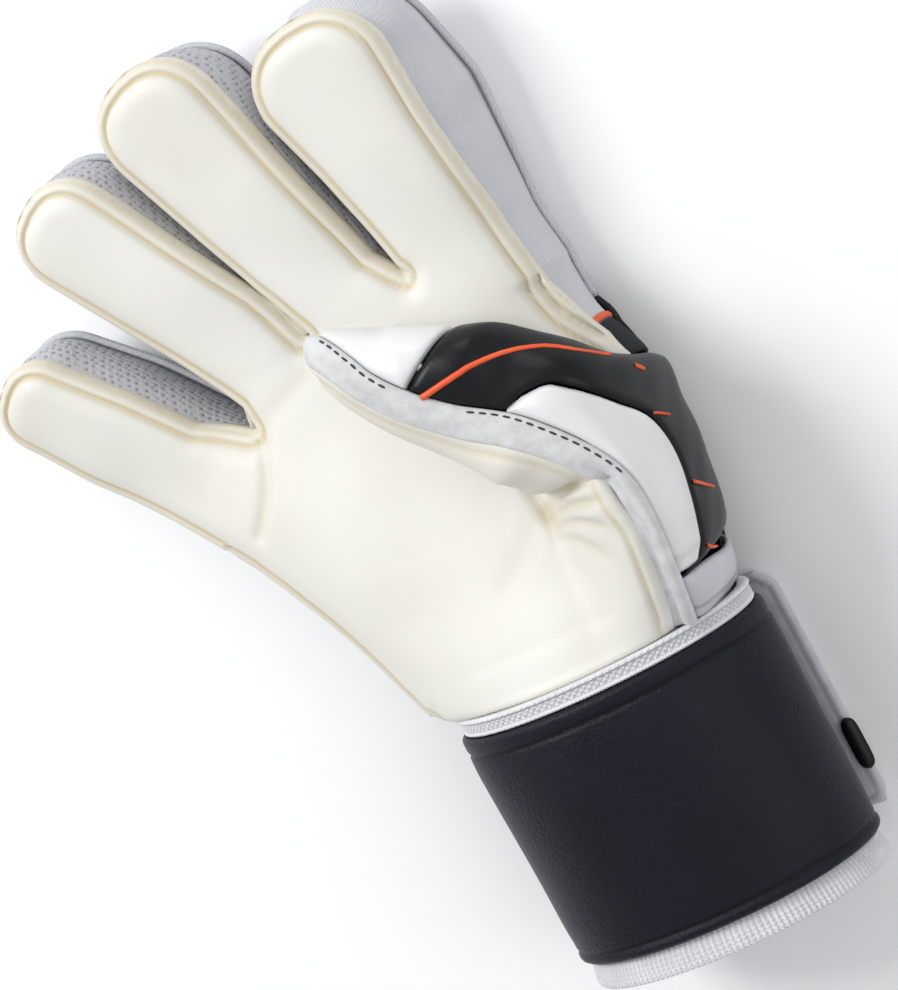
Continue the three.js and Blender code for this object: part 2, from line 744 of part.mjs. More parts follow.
function thumbPair(t, isUnder, share, offset, thick) {
  const step = 0.02;
  const point = (dt, ds) => thumbPoint(t + dt, isUnder, share + ds, offset);
  const low = share > 1 - step ? -step : 0;
  const high = share > 1 - step ? 0 : step;
  const ahead = less(point(step, 0), point(-step, 0));
  const side = less(point(0, high), point(0, low));
  const normal = unit(cross(ahead, side)).map((v) => (isUnder ? v : -v));
  const size = (curveAt(thumbRows, 'back', t) + curveAt(thumbRows, 'under', t)) * thumbRadius;
  const full = isUnder ? thick * mix(0.5, 1, smooth(4.6, 6.4, t)) : thick;
  const depth = t > 8 ? Math.min(full, size * 0.22) : full;
  const outer = point(0, 0);
  return { outer, inner: add(outer, normal, -depth) };
}

const tipEdge = (share) => 8.95 - 0.75 * Math.min(share, 0.6);
const baseShare = (t) => (t >= basePanelRows[0].t && t <= basePanelRows[basePanelRows.length - 1].t
  ? curveAt(basePanelRows, 'share', rowAt(basePanelRows, 't', t))
  : 0);

function wristFabric() {
  const rows = [];
  for (let i = 0; i <= 3; i += 1) {
    const t = mix(0.05, fabricStop, i / 3);
    rows.push([0, 0.15, 0.3, 0.45, 0.6, 0.8, 1].map((s) => thumbPair(t, false, s, seamOffset, panelThick)));
  }
  return new Sheet().addGrid(rows).geometry();
}

const outerSteps = [1.59, 1.62, 1.9, 2.4, 3, 3.6, 4.2, 4.7, 5.3, 5.9, 6.4, 6.8, 7, 7.03];

function thumbBlack() {
  const rows = outerSteps.map((t) => {
    const edge = baseShare(t);
    return [0, 0.12, 0.26, 0.42, 0.6, 0.8, 1].map((s) => (
      thumbPair(t, false, mix(edge, 1, s), seamOffset, panelThick)));
  });
  for (const u of [0.35, 0.7, 1]) {
    rows.push([0, 0.12, 0.26, 0.42, 0.6, 0.8, 1].map((s) => (
      thumbPair(mix(7.03, tipEdge(s), u), false, s, seamOffset, panelThick))));
  }
  return new Sheet().addGrid(rows).geometry();
}

function thumbBase() {
  const steps = outerSteps.slice(1, -1);
  const trim = 0.01;
  const rows = steps.map((t) => [0, 0.25, 0.5, 0.75, 1].map((s) => (
    thumbPair(t, false, (baseShare(t) - trim) * s, seamOffset, panelThick))));
  return new Sheet().addGrid(rows).geometry();
}

function thumbTip() {
  const shares = [0, 0.12, 0.26, 0.42, 0.6, 0.8, 1];
  const rows = [0, 0.15, 0.32, 0.5, 0.65, 0.8, 0.9, 1].map((u) => shares.map((s) => (
    thumbPair(mix(tipEdge(s) + 0.04, thumbStop, u), false, s, seamOffset, panelThick))));
  return new Sheet().addGrid(rows).geometry();
}

function thumbUnderside() {
  const rows = [];
  const steps = 20;
  for (let i = 0; i <= steps; i += 1) {
    const t = mix(thumbStart, thumbStop, i / steps);
    const reach = mix(0.9, 1, smooth(4.6, 6.5, t));
    rows.push([0, 0.12, 0.26, 0.42, 0.58, 0.74, 0.88, 1].map((s) => (
      thumbPair(t, true, s * reach, seamOffset, thumbLatexThick))));
  }
  return new Sheet().addGrid(rows).geometry();
}

// The felt binding along the seam, a little proud of the panels on both sides
function edgeBinding() {
  const rows = [];
  const steps = 30;
  for (let i = 0; i <= steps; i += 1) {
    const t = mix(0.05, bindingStop, i / steps);
    const seam = thumbPoint(t, false, 0, 0);
    rows.push([
      thumbPair(t, true, 0, bindingHalf, bindingThick),
      { outer: add(seam, [0, 0, bindingRise]), inner: add(seam, [0, 0, -bindingThick]) },
      thumbPair(t, false, 0, bindingHalf, bindingThick),
    ]);
  }
  return new Sheet().addGrid(rows).geometry();
}

// A ring whose outer and inner faces are flat ovals, given by rows along the cuff
function ovalTube(rows, sides = 48) {
  const points = [];
  const triangles = [];
  const loops = [...rows.map((row) => ({ y: row.y, wide: row.wide, high: row.high })),
    ...[...rows].reverse().map((row) => ({
      y: row.y, wide: row.wide - row.thick, high: row.high - row.thick,
    }))];
  loops.forEach((loop) => {
    for (let k = 0; k < sides; k += 1) {
      const turn = (2 * Math.PI * k) / sides;
      points.push([loop.wide * Math.cos(turn), loop.y, cuffCentreZ + loop.high * Math.sin(turn)]);
    }
  });
  loops.forEach((_, i) => {
    const next = ((i + 1) % loops.length) * sides;
    for (let k = 0; k < sides; k += 1) {
      const a = i * sides + k;
      const b = i * sides + ((k + 1) % sides);
      const c = next + ((k + 1) % sides);
      const d = next + k;
      triangles.push([a, b, c], [a, c, d]);
    }
  });
  return solid(points, triangles);
}

function wristStrap() {
  const high = cuffCentreZ;
  const row = (y, inset) => ({
    y, wide: strapHalfWide - inset, high: high - inset, thick: strapThick - inset,
  });
  const inner = [strapStart + 1.5, (strapStart + strapEnd) / 2, strapEnd - 1.5];
  return ovalTube([row(strapStart, 1), ...inner.map((y) => row(y, 0)), row(strapEnd, 1)]);
}

function wristBinding() {
  const row = (y) => ({ y, wide: 44, high: 28.3, thick: 2.6 });
  return ovalTube([row(strapEnd + clearance), row(wristY - 1.2)]);
}

// The closure's tongue: flat under the strap's edge, rising to its own outer edge
function tailHeight(x) {
  return 2 * smooth(30, tailOuter, x);
}

function strapTail() {
  const rows = [0, 0.05, 0.12, 0.35, 0.6, 0.85, 0.93, 0.97, 1].map((t) => {
    const y = mix(tailStart, tailEnd, t);
    const round = smooth(0.9, 1, t);
    const outerX = tailOuter - 4.5 * round * round - 1.5 * smooth(0.06, 0, t);
    return [0, 0.3, 0.55, 0.8, 1].map((s) => {
      const x = mix(tailInner, outerX, s);
      const z = tailHeight(x);
      return { outer: [x, y, z], inner: [x, y, z + tailThick] };
    });
  });
  return new Sheet().addGrid(rows).geometry();
}

function pullTab() {
  const rows = [tabStart, tabStart + 2, tabEnd - 2, tabEnd].map((y, i) => {
    const inset = i === 0 || i === 3 ? 1.2 : 0;
    return [0, 0.5, 1].map((s) => {
      const x = mix(tailOuter + 2 - tabWide, tailOuter + 2 - inset, s);
      const z = tailHeight(x) + tailThick + clearance;
      return { outer: [x, y, z], inner: [x, y, z + tabThick] };
    });
  });
  return new Sheet().addGrid(rows).geometry();
}

// Materials
const material = (color, roughness) => new THREE.MeshStandardMaterial({ color, roughness, metalness: 0 });
const cream = material(0xe9e6d8, 0.55);
const mesh = material(0xb9bac2, 0.85);
const cloth = material(0xc9c9cf, 0.8);
const black = material(0x202225, 0.35);
const white = material(0xe2e2de, 0.45);
const felt = material(0xc4c4c2, 0.95);
const knit = material(0xd5d6d9, 0.9);
const navy = material(0x1d1e27, 0.5);

const glove = new THREE.Group();

function place(name, geometry, look) {
  const piece = new THREE.Mesh(geometry, look.clone());
  piece.name = name;
  glove.add(piece);
}

place('palm_latex', palmSheet(), cream);
place('thumb_latex', thumbUnderside(), cream);
for (const key of Object.keys(routes)) place(`gusset_${key}`, gusset(key), mesh);
for (const name of fingerNames) place(`finger_back_${name}`, fingerBack(name), cloth);
place('backhand_panel', backhandPanel(), black);
place('thumb_tip_panel', thumbTip(), white);
place('thumb_black_panel', thumbBlack(), black);
place('thumb_base_panel', thumbBase(), white);
place('thumb_edge_binding', edgeBinding(), felt);
place('wrist_side_fabric', wristFabric(), cloth);
place('cuff_knit', ovalTube(cuffRows.map((row) => ({ ...row, thick: knitThick }))), knit);
place('wrist_binding', wristBinding(), knit);
place('wrist_strap', wristStrap(), navy);
place('strap_tail', strapTail(), cloth);
place('pull_tab', pullTab(), black);

// The origin is under the middle of the whole glove
const box = new THREE.Box3().setFromObject(glove);
glove.position.set(-(box.min.x + box.max.x) / 2, -(box.min.y + box.max.y) / 2, -box.min.z);

export default glove;
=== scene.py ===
import math
import time

import bmesh
import bpy
import numpy as np
from mathutils import Matrix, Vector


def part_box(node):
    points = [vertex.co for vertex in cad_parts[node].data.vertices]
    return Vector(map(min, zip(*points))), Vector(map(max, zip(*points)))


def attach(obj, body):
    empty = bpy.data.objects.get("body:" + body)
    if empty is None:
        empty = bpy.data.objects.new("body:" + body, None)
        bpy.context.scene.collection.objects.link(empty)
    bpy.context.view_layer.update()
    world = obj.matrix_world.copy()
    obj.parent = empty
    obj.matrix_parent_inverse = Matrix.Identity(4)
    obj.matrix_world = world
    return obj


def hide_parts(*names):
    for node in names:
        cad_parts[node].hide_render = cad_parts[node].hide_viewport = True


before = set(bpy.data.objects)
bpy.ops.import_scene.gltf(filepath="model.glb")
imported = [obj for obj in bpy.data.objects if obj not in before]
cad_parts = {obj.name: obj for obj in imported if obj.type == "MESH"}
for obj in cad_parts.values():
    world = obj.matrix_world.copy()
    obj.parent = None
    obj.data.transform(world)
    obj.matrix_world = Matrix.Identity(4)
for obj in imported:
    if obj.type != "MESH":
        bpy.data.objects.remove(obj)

started = time.time()
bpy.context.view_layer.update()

# Lengths are in millimetres in the glove's own frame: x to the thumb side from the middle of the cuff,
# y from the cuff's open end to the fingertips, z up from the surface.
cuffLow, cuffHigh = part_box("cuff_knit")
shift = np.array([(cuffLow[0] + cuffHigh[0]) * 500, cuffLow[1] * 1000, 0.0])

# Each finger: axis start x and y, yaw in degrees, length, half widths at root, middle and tip,
# and where its left and right edges start.
fingers = {
    "little": dict(x=-78.4, y=165.6, yaw=37, length=65.5, root=14.5, mid=15.2, tip=14.0, left=-8, right=13),
    "ring": dict(x=-49, y=193, yaw=29, length=75, root=14.8, mid=16.0, tip=16.6, left=-3, right=6),
    "middle": dict(x=-20.4, y=197.2, yaw=16.5, length=82.5, root=15.0, mid=17.6, tip=19.2, left=0, right=3),
    "index": dict(x=15.3, y=191.8, yaw=8, length=77, root=15.4, mid=18.2, tip=21.2, left=9, right=-14),
}
fingerNames = list(fingers)
crotches = np.array([[-60.5, 176.5], [-33.5, 193.0], [-1.0, 196.5]])

# The palm from the wrist up: y, left edge, right edge, heights at left, middle and right, thumb side's rise
palmRows = np.array([
    [82, -46, 29.3, 38, 58, 50.5, 0],
    [86, -52.5, 31, 37, 56, 49.5, 3],
    [95, -56.5, 33.4, 36, 53, 47, 9],
    [112, -63, 36.6, 35, 47, 42, 19],
    [129, -71.5, 35.6, 34, 42, 37, 25],
    [150, -82.5, 44, 32, 37, 31, 10],
    [170, -86, 33, 30, 32, 29, 0],
    [190, -86, 31, 29, 29, 29, 0],
])
# The back's edge on the thumb side: y, x
backEdge = np.array([[82, 37.5], [104, 41.5], [130, 44.5], [147, 45.5], [156, 42], [164, 39.5],
                     [178, 39]])
# The thumb from the wrist to its tip: seam x y z, end of the back x y z, end of the underside x y z,
# bulge of the back and of the underside
thumbRows = np.array([
    [32.7, 84, 51, 37, 84.5, 14.6, 20, 84, 45, 5, 0],
    [35.2, 90.5, 56, 38, 91.5, 13.2, 23, 90.5, 50, 6, 0],
    [38.3, 103, 61, 41, 104, 11, 26, 103, 55, 6.5, 0],
    [40, 116, 63, 43, 117, 11, 28, 116, 57, 7, 0],
    [39.3, 127, 64, 44, 130, 11, 12, 129.5, 42.5, 8, 3.5],
    [34.6, 136.6, 64.5, 45, 142, 12.5, 11, 131.5, 43.5, 10.5, 6],
    [27.3, 145.5, 64.5, 37, 142.5, 30, 11, 135, 43.5, 17, 9],
    [19, 153, 64.5, 25, 144, 39.5, 14, 144, 42, 22.5, 15],
    [7.6, 160.4, 64, 12, 160, 40, 10.5, 158.5, 40, 21, 15.5],
    [-2.9, 169.6, 63.5, -0.3, 172.2, 40.5, -1.5, 171, 40.5, 15.8, 14.3],
    [-9.8, 177.4, 62, -8, 180, 42, -9, 179, 42, 12, 13],
    [-13.8, 183.7, 60, -13.4, 184.8, 44, -14.3, 184, 44, 8, 11.5],
    [-17.5, 188.4, 57, -18.3, 188, 46, -19.2, 187.2, 46, 5.5, 8.5],
    [-20.5, 191.1, 54, -21, 190.6, 48, -21.8, 190, 48, 3.5, 6],
    [-23.3, 193.2, 50.8, -23, 192.9, 49.6, -23.5, 192.5, 49.6, 1, 1],
])
# How much of the thumb's back the light base panel covers: row number, share of the width
basePanel = np.array([
    [1.62, 0.2], [1.9, 0.3], [2.8, 0.375], [3.6, 0.415], [4.3, 0.39], [5, 0.285], [5.9, 0.235],
    [6.4, 0.2], [6.8, 0.1], [7, 0.03],
])
wristY = 83.0
slit = np.array([10.5, 129.5])
web = np.array([44.0, 150.0])
seamOffset = 2.9
cuffCentre = 31.2


# Zero below low, one above high, 3t squared - 2t cubed between
def smooth(low, high, v):
    t = np.clip((v - low) / (high - low), 0, 1)
    return t * t * (3 - 2 * t)


# From a to b by the share t
def mix(a, b, t):
    return a + (b - a) * t


# Vectors brought to length one
def unit(v):
    return v / np.maximum(np.linalg.norm(v, axis=-1, keepdims=True), 1e-9)


# exp(-(v / width) squared)
def bell(v, width):
    return np.exp(-((v / width) ** 2))


# Catmull-Rom curve through the rows of a table, read at row numbers t of any shape
def curveAt(rows, t):
    t = np.asarray(t, float)
    last = len(rows) - 1
    k = np.clip(np.floor(t).astype(int), 0, last - 1)
    f = np.clip(t - k, 0, 1)[..., None]
    a, b = rows[np.clip(k - 1, 0, last)], rows[k]
    c, d = rows[k + 1], rows[np.clip(k + 2, 0, last)]
    return b + 0.5 * ((c - a) * f + (2 * a - 5 * b + 4 * c - d) * f * f + (3 * b - a - 3 * c + d) * f ** 3)


# Row number, with its fraction, at which the leading column has a value
def rowAt(lead, value):
    return np.interp(value, lead, np.arange(len(lead)))


# Length run at each point of a line
def runOf(line):
    return np.concatenate([[0], np.cumsum(np.linalg.norm(np.diff(line, axis=0), axis=1))])


# Values of a line's columns at given lengths of its run
def readAt(goal, run, line):
    return np.stack([np.interp(goal, run, line[:, i]) for i in range(line.shape[1])], 1)


# Equally spaced points along a smooth curve through a few points
def resample(points, count):
    points = np.asarray(points, float)
    fine = curveAt(points, np.linspace(0, len(points) - 1, 40 * len(points)))
    run = runOf(fine)
    return readAt(np.linspace(0, run[-1], count), run, fine)


# Points of the plane with their heights
def withHeight(xy, z):
    return np.concatenate([xy, z[..., None]], -1)


# Shortest distance from points to a line of points, in as many dimensions as the line has
def distanceTo(line, points):
    best = np.full(points.shape[:-1], 1e9)
    for a, b in zip(line[:-1], line[1:]):
        d = b - a
        t = np.clip(((points - a) @ d) / max(float(d @ d), 1e-9), 0, 1)
        gap = points - a - t[..., None] * d
        best = np.minimum(best, np.einsum("...i,...i", gap, gap))
    return np.sqrt(best)


# How far each finger back lies to the thumb side, and how much longer it is than its front
backShift = {"little": 6.6, "ring": 5.6, "middle": 5.4, "index": 8.0}
backLonger = {"little": -1.5, "ring": -0.5, "middle": -2.0, "index": 0.8}
# The glove's outline and bends: what the back adds to the palm's edges, the fingers' curl at their tips,
# their twist and rise, and how the rims bend down on the palm and up on the back
shell = dict(backWider=0.3, backHeel=6.5, backCrotch=(5.04, -4.0), crotchHalf=0.9, palmWebY=150, backWebY=147,
             palmCurl=6, backCurl=12, twist=2.4, rise=3, rimDrop=4.2, rimReach=9, backRim=8, backRimReach=14,
             wristLift=3.5, ridgeDrop=3, ridgeReach=5)
indexBackWider = np.array([-1.5, 4.5, 0.5])  # at root, middle and tip
tipPower = 2.3


# A finger's axis: along = (-sin yaw, cos yaw), across at right angles to it
def fingerFrame(name, isBack):
    row = fingers[name]
    turn = math.radians(row["yaw"])
    along = np.array([-math.sin(turn), math.cos(turn)])
    across = np.array([math.cos(turn), math.sin(turn)])
    root = np.array([row["x"], row["y"]]) + across * (backShift[name] if isBack else 0)
    halves = np.array([row["root"], row["mid"], row["tip"]]) + (shell["backWider"] if isBack else 0)
    if isBack and name == "index":
        halves = halves + indexBackWider
    return dict(along=along, across=across, root=root, length=row["length"] + (backLonger[name] if isBack else 0),
                halves=halves, starts=(row["left"], row["right"]))


# Half width along a finger: straight from root to middle to tip, closed by a superellipse
def halfWidth(part, distance):
    root, mid, tip = part["halves"]
    share = distance / part["length"]
    plain = np.where(share < 0.5, mix(root, mid, np.clip(share, 0, 1) / 0.5),
                     mix(mid, tip, np.clip((share - 0.5) / 0.28, 0, 1)))
    start = part["length"] - 0.95 * tip
    end = np.clip((distance - start) / (part["length"] - start), 0, 1)
    return plain * np.maximum(1 - end ** tipPower, 0) ** (1 / tipPower)


# A finger's edge: root + along * distance + across * half width, points closer together near the tip
def fingerEdge(name, isBack, sign, t):
    part = fingerFrame(name, isBack)
    t = np.asarray(t, float)
    distance = mix(part["starts"][0 if sign < 0 else 1], part["length"], 1 - (1 - t) ** 1.5)
    half = sign * halfWidth(part, distance)
    return part["root"] + part["along"] * distance[..., None] + part["across"] * half[..., None]


# The lowest point between two fingers
def crotchPoint(k, isBack):
    return crotches[k] + (np.array(shell["backCrotch"]) if isBack else 0)


# The line across the fingers' roots, from corner to corner
def rootLine(isBack):
    ends = [fingerEdge("little", isBack, -1, 0.0), fingerEdge("index", isBack, 1, 0.0)]
    return np.array([ends[0], *[crotchPoint(k, isBack) for k in range(3)], ends[1]])


# Points along a root line, a set of shares for each finger, and their shares of the whole width
def acrossRoots(corners, shares):
    spans = [shares[:-1] if k < 3 else shares for k in range(4)]
    line = np.concatenate([corners[k] + (corners[k + 1] - corners[k]) * spans[k][:, None] for k in range(4)])
    return line, np.concatenate([(k + spans[k]) / 4 for k in range(4)])


# The edge on the little finger's side, by the table's curve
def heelEdge(y, isBack):
    y = np.asarray(y, float)
    row = curveAt(palmRows, rowAt(palmRows[:, 0], y))
    return np.stack([row[..., 1] + (shell["backHeel"] if isBack else 0), y], -1)


# The edge on the thumb's side, by the curve of its own table
def thumbSideEdge(y, isBack):
    y = np.asarray(y, float)
    table, column = (backEdge, 1) if isBack else (palmRows, 2)
    return np.stack([curveAt(table, rowAt(table[:, 0], y))[..., column], y], -1)


# The side strips' routes, as matching points on the palm's edge and on the back's edge
def routes(isBack, steps):
    up = np.linspace(0, 1, steps)
    first, last = fingerEdge("little", isBack, -1, 0.0), fingerEdge("index", isBack, 1, 0.0)
    heel = heelEdge(mix(wristY, first[1], np.linspace(0.02, 0.88, steps)), isBack)
    low = shell["backWebY" if isBack else "palmWebY"]
    webLine = thumbSideEdge(mix(last[1], low, np.linspace(0.1, 1, steps // 2)), isBack)
    lines = {"little_outer": np.concatenate([heel, fingerEdge("little", isBack, -1, up)])}
    for k in range(3):
        left = fingerEdge(fingerNames[k], isBack, 1, up[::-1])
        right = fingerEdge(fingerNames[k + 1], isBack, -1, up)
        side = unit(right[0] - left[-1])
        bottom = crotchPoint(k, isBack) + side * shell["crotchHalf"] * np.array([[-1], [1]])
        lines[f"{fingerNames[k]}_{fingerNames[k + 1]}"] = np.concatenate([left, bottom, right])
    lines["index_outer"] = np.concatenate([fingerEdge("index", isBack, 1, up[::-1]), webLine])
    return lines


palmLines, backLines = routes(False, 26), routes(True, 26)
palmOutline = np.concatenate(list(palmLines.values()))
backOutline = np.concatenate(list(backLines.values()) + [thumbSideEdge(np.array([135, 120, 105, 90, 83]), True)])
ridgeLine = thumbSideEdge(np.linspace(wristY, 129.5, 12), False)


# depth * (1 - distance / reach) squared, nothing past the reach
def edgeBend(distance, depth, reach):
    return depth * (1 - np.clip(distance / reach, 0, 1)) ** 2


# Rise of a finger: curl * (distance / length) squared, and on the palm a twist to one side
def fingerRaise(name, isBack, xy):
    if not name:
        return np.zeros(xy.shape[:-1])
    part = fingerFrame(name, isBack)
    gap = xy - part["root"]
    distance = np.maximum(gap @ part["along"], 0)
    side = np.clip((gap @ part["across"]) / part["halves"][1], -1.2, 1.2)
    curl = shell["backCurl" if isBack else "palmCurl"] * (distance / part["length"]) ** 2
    if isBack:
        return curl
    return curl + shell["twist"] * side * smooth(0, 25, distance) + shell["rise"] * smooth(0, 40, distance)


# The palm's face: an arch across each row, the thumb side's rise, edges bent down, the finger's curl
def palmTop(xy, name=None, thenar=0, blend=1):
    x, y = xy[..., 0], xy[..., 1]
    row = curveAt(palmRows, rowAt(palmRows[:, 0], y))
    left, right, zLeft, zMid, zRight, rise = (row[..., i] for i in range(1, 7))
    s = np.clip((2 * x - left - right) / (right - left), -1.15, 1.15)
    z = zMid + (zRight - zLeft) / 2 * s + ((zRight + zLeft) / 2 - zMid) * s * s
    z = z + thenar * rise * smooth(8, right, x)
    if np.any(thenar):
        z = z - thenar * edgeBend(distanceTo(ridgeLine, xy), shell["ridgeDrop"], shell["ridgeReach"])
    z = z - edgeBend(distanceTo(palmOutline, xy), shell["rimDrop"], shell["rimReach"])
    return z + blend * fingerRaise(name, False, xy)


# The back's lower face: flat on the ground, its rim turned up, lifted to the wrist
def backBottom(xy, name=None, blend=1):
    lift = edgeBend(distanceTo(backOutline, xy), shell["backRim"], shell["backRimReach"])
    return lift + shell["wristLift"] * smooth(105, wristY, xy[..., 1]) + blend * fingerRaise(name, True, xy)


# A finger's sheet from its root line to its tip, as rows of points with a blend from palm to finger
def fingerGrid(name, isBack, start, shares, steps, inset=0.0):
    t = np.linspace(0, 1, steps)
    left, right = fingerEdge(name, isBack, -1, t), fingerEdge(name, isBack, 1, t)
    reach = np.maximum(np.linalg.norm(right - left, axis=1), 0.001)
    trim = np.minimum(inset / reach, 0.5)[:, None]
    s = mix(trim, 1 - trim, shares[None, :])
    rows = left[:, None] + (right - left)[:, None] * s[..., None]
    lead = np.linspace(0, 1, 9)[:-1]
    first = start[None] + (rows[0] - start)[None] * lead[:, None, None]
    return np.concatenate([first, rows]), np.concatenate([smooth(0, 1, lead), np.ones(steps)])[:, None]


# The thumb: from the seam a half section goes over its back or its underside. The chord is run with
# (1 - cos) / 2 and the bulge is sin to the power 0.85.
def thumbPoint(t, share, isUnder, offset=seamOffset, count=28):
    t, share, offset = np.broadcast_arrays(np.asarray(t, float), share, offset)
    row = curveAt(thumbRows, t)
    seam = row[..., 0:3]
    chord = (row[..., 6:9] if isUnder else row[..., 3:6]) - seam
    ahead = curveAt(thumbRows, np.clip(t + 0.05, 0, 14)) - curveAt(thumbRows, np.clip(t - 0.05, 0, 14))
    out = unit(np.cross(ahead[..., 0:3], chord)) * (1 if isUnder else -1)
    bulge = row[..., 10] if isUnder else row[..., 9]
    w = np.linspace(0, 1, count + 1)
    line = seam[..., None, :] + chord[..., None, :] * ((1 - np.cos(np.pi * w)) / 2)[:, None]
    line = line + out[..., None, :] * (bulge[..., None] * np.abs(np.sin(np.pi * w)) ** 0.85)[..., None]
    steps = np.linalg.norm(np.diff(line, axis=-2), axis=-1)
    run = np.concatenate([np.zeros(t.shape + (1,)), np.cumsum(steps, -1)], -1)
    total = run[..., -1]
    goal = np.clip(mix(offset * np.minimum(1, total * 0.45 / seamOffset), total, share), 0, total)
    k = np.clip((run < goal[..., None]).sum(-1), 1, count)[..., None]
    before, after = np.take_along_axis(run, k - 1, -1), np.take_along_axis(run, k, -1)
    part = (goal[..., None] - before) / np.maximum(after - before, 1e-9)
    low = np.take_along_axis(line, (k - 1)[..., None], -2)[..., 0, :]
    high = np.take_along_axis(line, k[..., None], -2)[..., 0, :]
    point = mix(low, high, part)
    if not isUnder:
        return point
    # near the palm the underside starts as a continuation of the palm's own face
    endY = mix(seam[..., 1], slit[1], smooth(3, 4, t))
    along = mix(offset / (seam[..., 0] - slit[0]), 1, share)
    lip = np.stack([mix(seam[..., 0], slit[0], along), np.minimum(mix(seam[..., 1], endY, along), slit[1])], -1)
    lip = withHeight(lip, palmTop(lip, None, 1))
    return mix(lip, point, smooth(4, 5.3, t)[..., None])


# Unit normals of a grid of points; a grid whose normals point the wrong way is given sign -1
def gridNormals(grid, sign=1):
    return sign * unit(np.cross(np.gradient(grid, axis=0), np.gradient(grid, axis=1)))


# The points round a grid, in order
def border(grid):
    return np.concatenate([grid[0], grid[1:, -1], grid[-1, -2::-1], grid[-2::-1, 0]])


# Four-sided faces of a grid of numbers; closed joins the last column to the first
def gridFaces(rows, columns, closed=False, flip=False):
    number = np.arange(rows * columns).reshape(rows, columns)
    if closed:
        number = np.concatenate([number, number[:, :1]], 1)
    a, b, c, d = number[:-1, :-1], number[:-1, 1:], number[1:, 1:], number[1:, :-1]
    faces = np.stack([a, b, c, d], -1).reshape(-1, 4)
    return faces[:, ::-1] if flip else faces


# A part: a grid's points, faces and tints
def gridPart(grid, tone=0.0, closed=False, flip=False):
    return grid.reshape(-1, 3), gridFaces(*grid.shape[:2], closed, flip), np.broadcast_to(tone, grid.shape[:2]).ravel()


# The places of a mesh's points, from millimetres
def setPlaces(mesh, points):
    mesh.vertices.foreach_set("co", ((points + shift) / 1000).astype(np.float32).ravel())


# A mesh object from parts in millimetres, doubles merged, with a float attribute for tone: the third colour's share,
# painted shade on most pieces
def makePiece(name, parts, material, merge=0.02, recalc=False):
    points, tone = (np.concatenate([p[i] for p in parts]) for i in (0, 2))
    starts = np.cumsum([0] + [len(p[0]) for p in parts[:-1]])
    faces = np.concatenate([p[1] + s for p, s in zip(parts, starts)])
    mesh = bpy.data.meshes.new(name)
    mesh.vertices.add(len(points))
    setPlaces(mesh, points)
    mesh.loops.add(faces.size)
    mesh.loops.foreach_set("vertex_index", faces.astype(np.int32).ravel())
    mesh.polygons.add(len(faces))
    mesh.polygons.foreach_set("loop_start", np.arange(0, faces.size, 4, dtype=np.int32))
    mesh.polygons.foreach_set("loop_total", np.full(len(faces), 4, np.int32))
    mesh.update(calc_edges=True)
    attribute = mesh.attributes.new("tone", "FLOAT", "POINT")
    attribute.data.foreach_set("value", tone.astype(np.float32))
    work = bmesh.new()
    work.from_mesh(mesh)
    bmesh.ops.remove_doubles(work, verts=work.verts, dist=merge / 1000)
    bmesh.ops.dissolve_degenerate(work, edges=work.edges, dist=1e-6)
    if recalc:
        bmesh.ops.recalc_face_normals(work, faces=work.faces)
    work.to_mesh(mesh)
    work.free()
    mesh.polygons.foreach_set("use_smooth", [True] * len(mesh.polygons))
    mesh.materials.append(material)
    piece = bpy.data.objects.new(name, mesh)
    bpy.context.scene.collection.objects.link(piece)
    return piece


# A soft piece of the glove's one body: attached to the root body, with the nodes that it stands for hidden; its slot
# and how full it is are not used
def dress(piece, slotName, fill, *nodes):
    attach(piece, "root")
    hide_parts(*nodes)


# A wall on the inner side of a surface
def thicken(piece, thickness, side=-1.0):
    solidify = piece.modifiers.new("thickness", "SOLIDIFY")
    solidify.thickness = thickness / 1000
    solidify.offset = side
    solidify.use_even_offset = False
    return piece


# Sum of a few sines with seeded directions: gentle unevenness of hand-sewn cloth
def wander(points, wave, size, seed):
    random = np.random.default_rng(seed)
    total = np.zeros(points.shape[:-1])
    for _ in range(5):
        way = unit(random.normal(size=points.shape[-1]))
        total += np.sin(points @ way * (2 * np.pi / (wave * random.uniform(0.7, 1.5))) + random.uniform(0, 6.28))
    return size * total / 5


# A ribbon with a domed section along a path: half(t) wide to each side, height h(1 - a squared)
def ribbon(path, normals, half, height, lift=0.0, sides=7):
    tangent = unit(np.gradient(path, axis=0))
    side = unit(np.cross(normals, tangent))
    a = np.linspace(-1, 1, sides)[None, :, None]
    half = np.broadcast_to(half, (len(path),))[:, None, None]
    height = np.broadcast_to(height, (len(path),))[:, None, None]
    top = path[:, None] + side[:, None] * half * a + normals[:, None] * (lift + height * (1 - a * a))
    base = path[:, None] + side[:, None] * half * a[:, ::-1] * 0.96 + normals[:, None] * (lift - 0.35)
    return np.concatenate([top, base], 1)


# Faces of a closed section carried along a path, with both ends drawn together
def ribbonPart(loops):
    ends = loops.mean(1, keepdims=True)
    grid = np.concatenate([np.repeat(ends[:1], loops.shape[1], 1), loops, np.repeat(ends[-1:], loops.shape[1], 1)])
    return gridPart(grid, closed=True)


# Materials: node groups give colours, roughness and bump heights from Object coordinates
def newGroup(name, inputs, outputs):
    group = bpy.data.node_groups.new(name, "ShaderNodeTree")
    for label, kind, value in inputs:
        socket = group.interface.new_socket(label, in_out="INPUT", socket_type=kind)
        socket.default_value = value
    for label, kind in outputs:
        group.interface.new_socket(label, in_out="OUTPUT", socket_type=kind)
    return group, group.nodes.new("NodeGroupInput"), group.nodes.new("NodeGroupOutput")


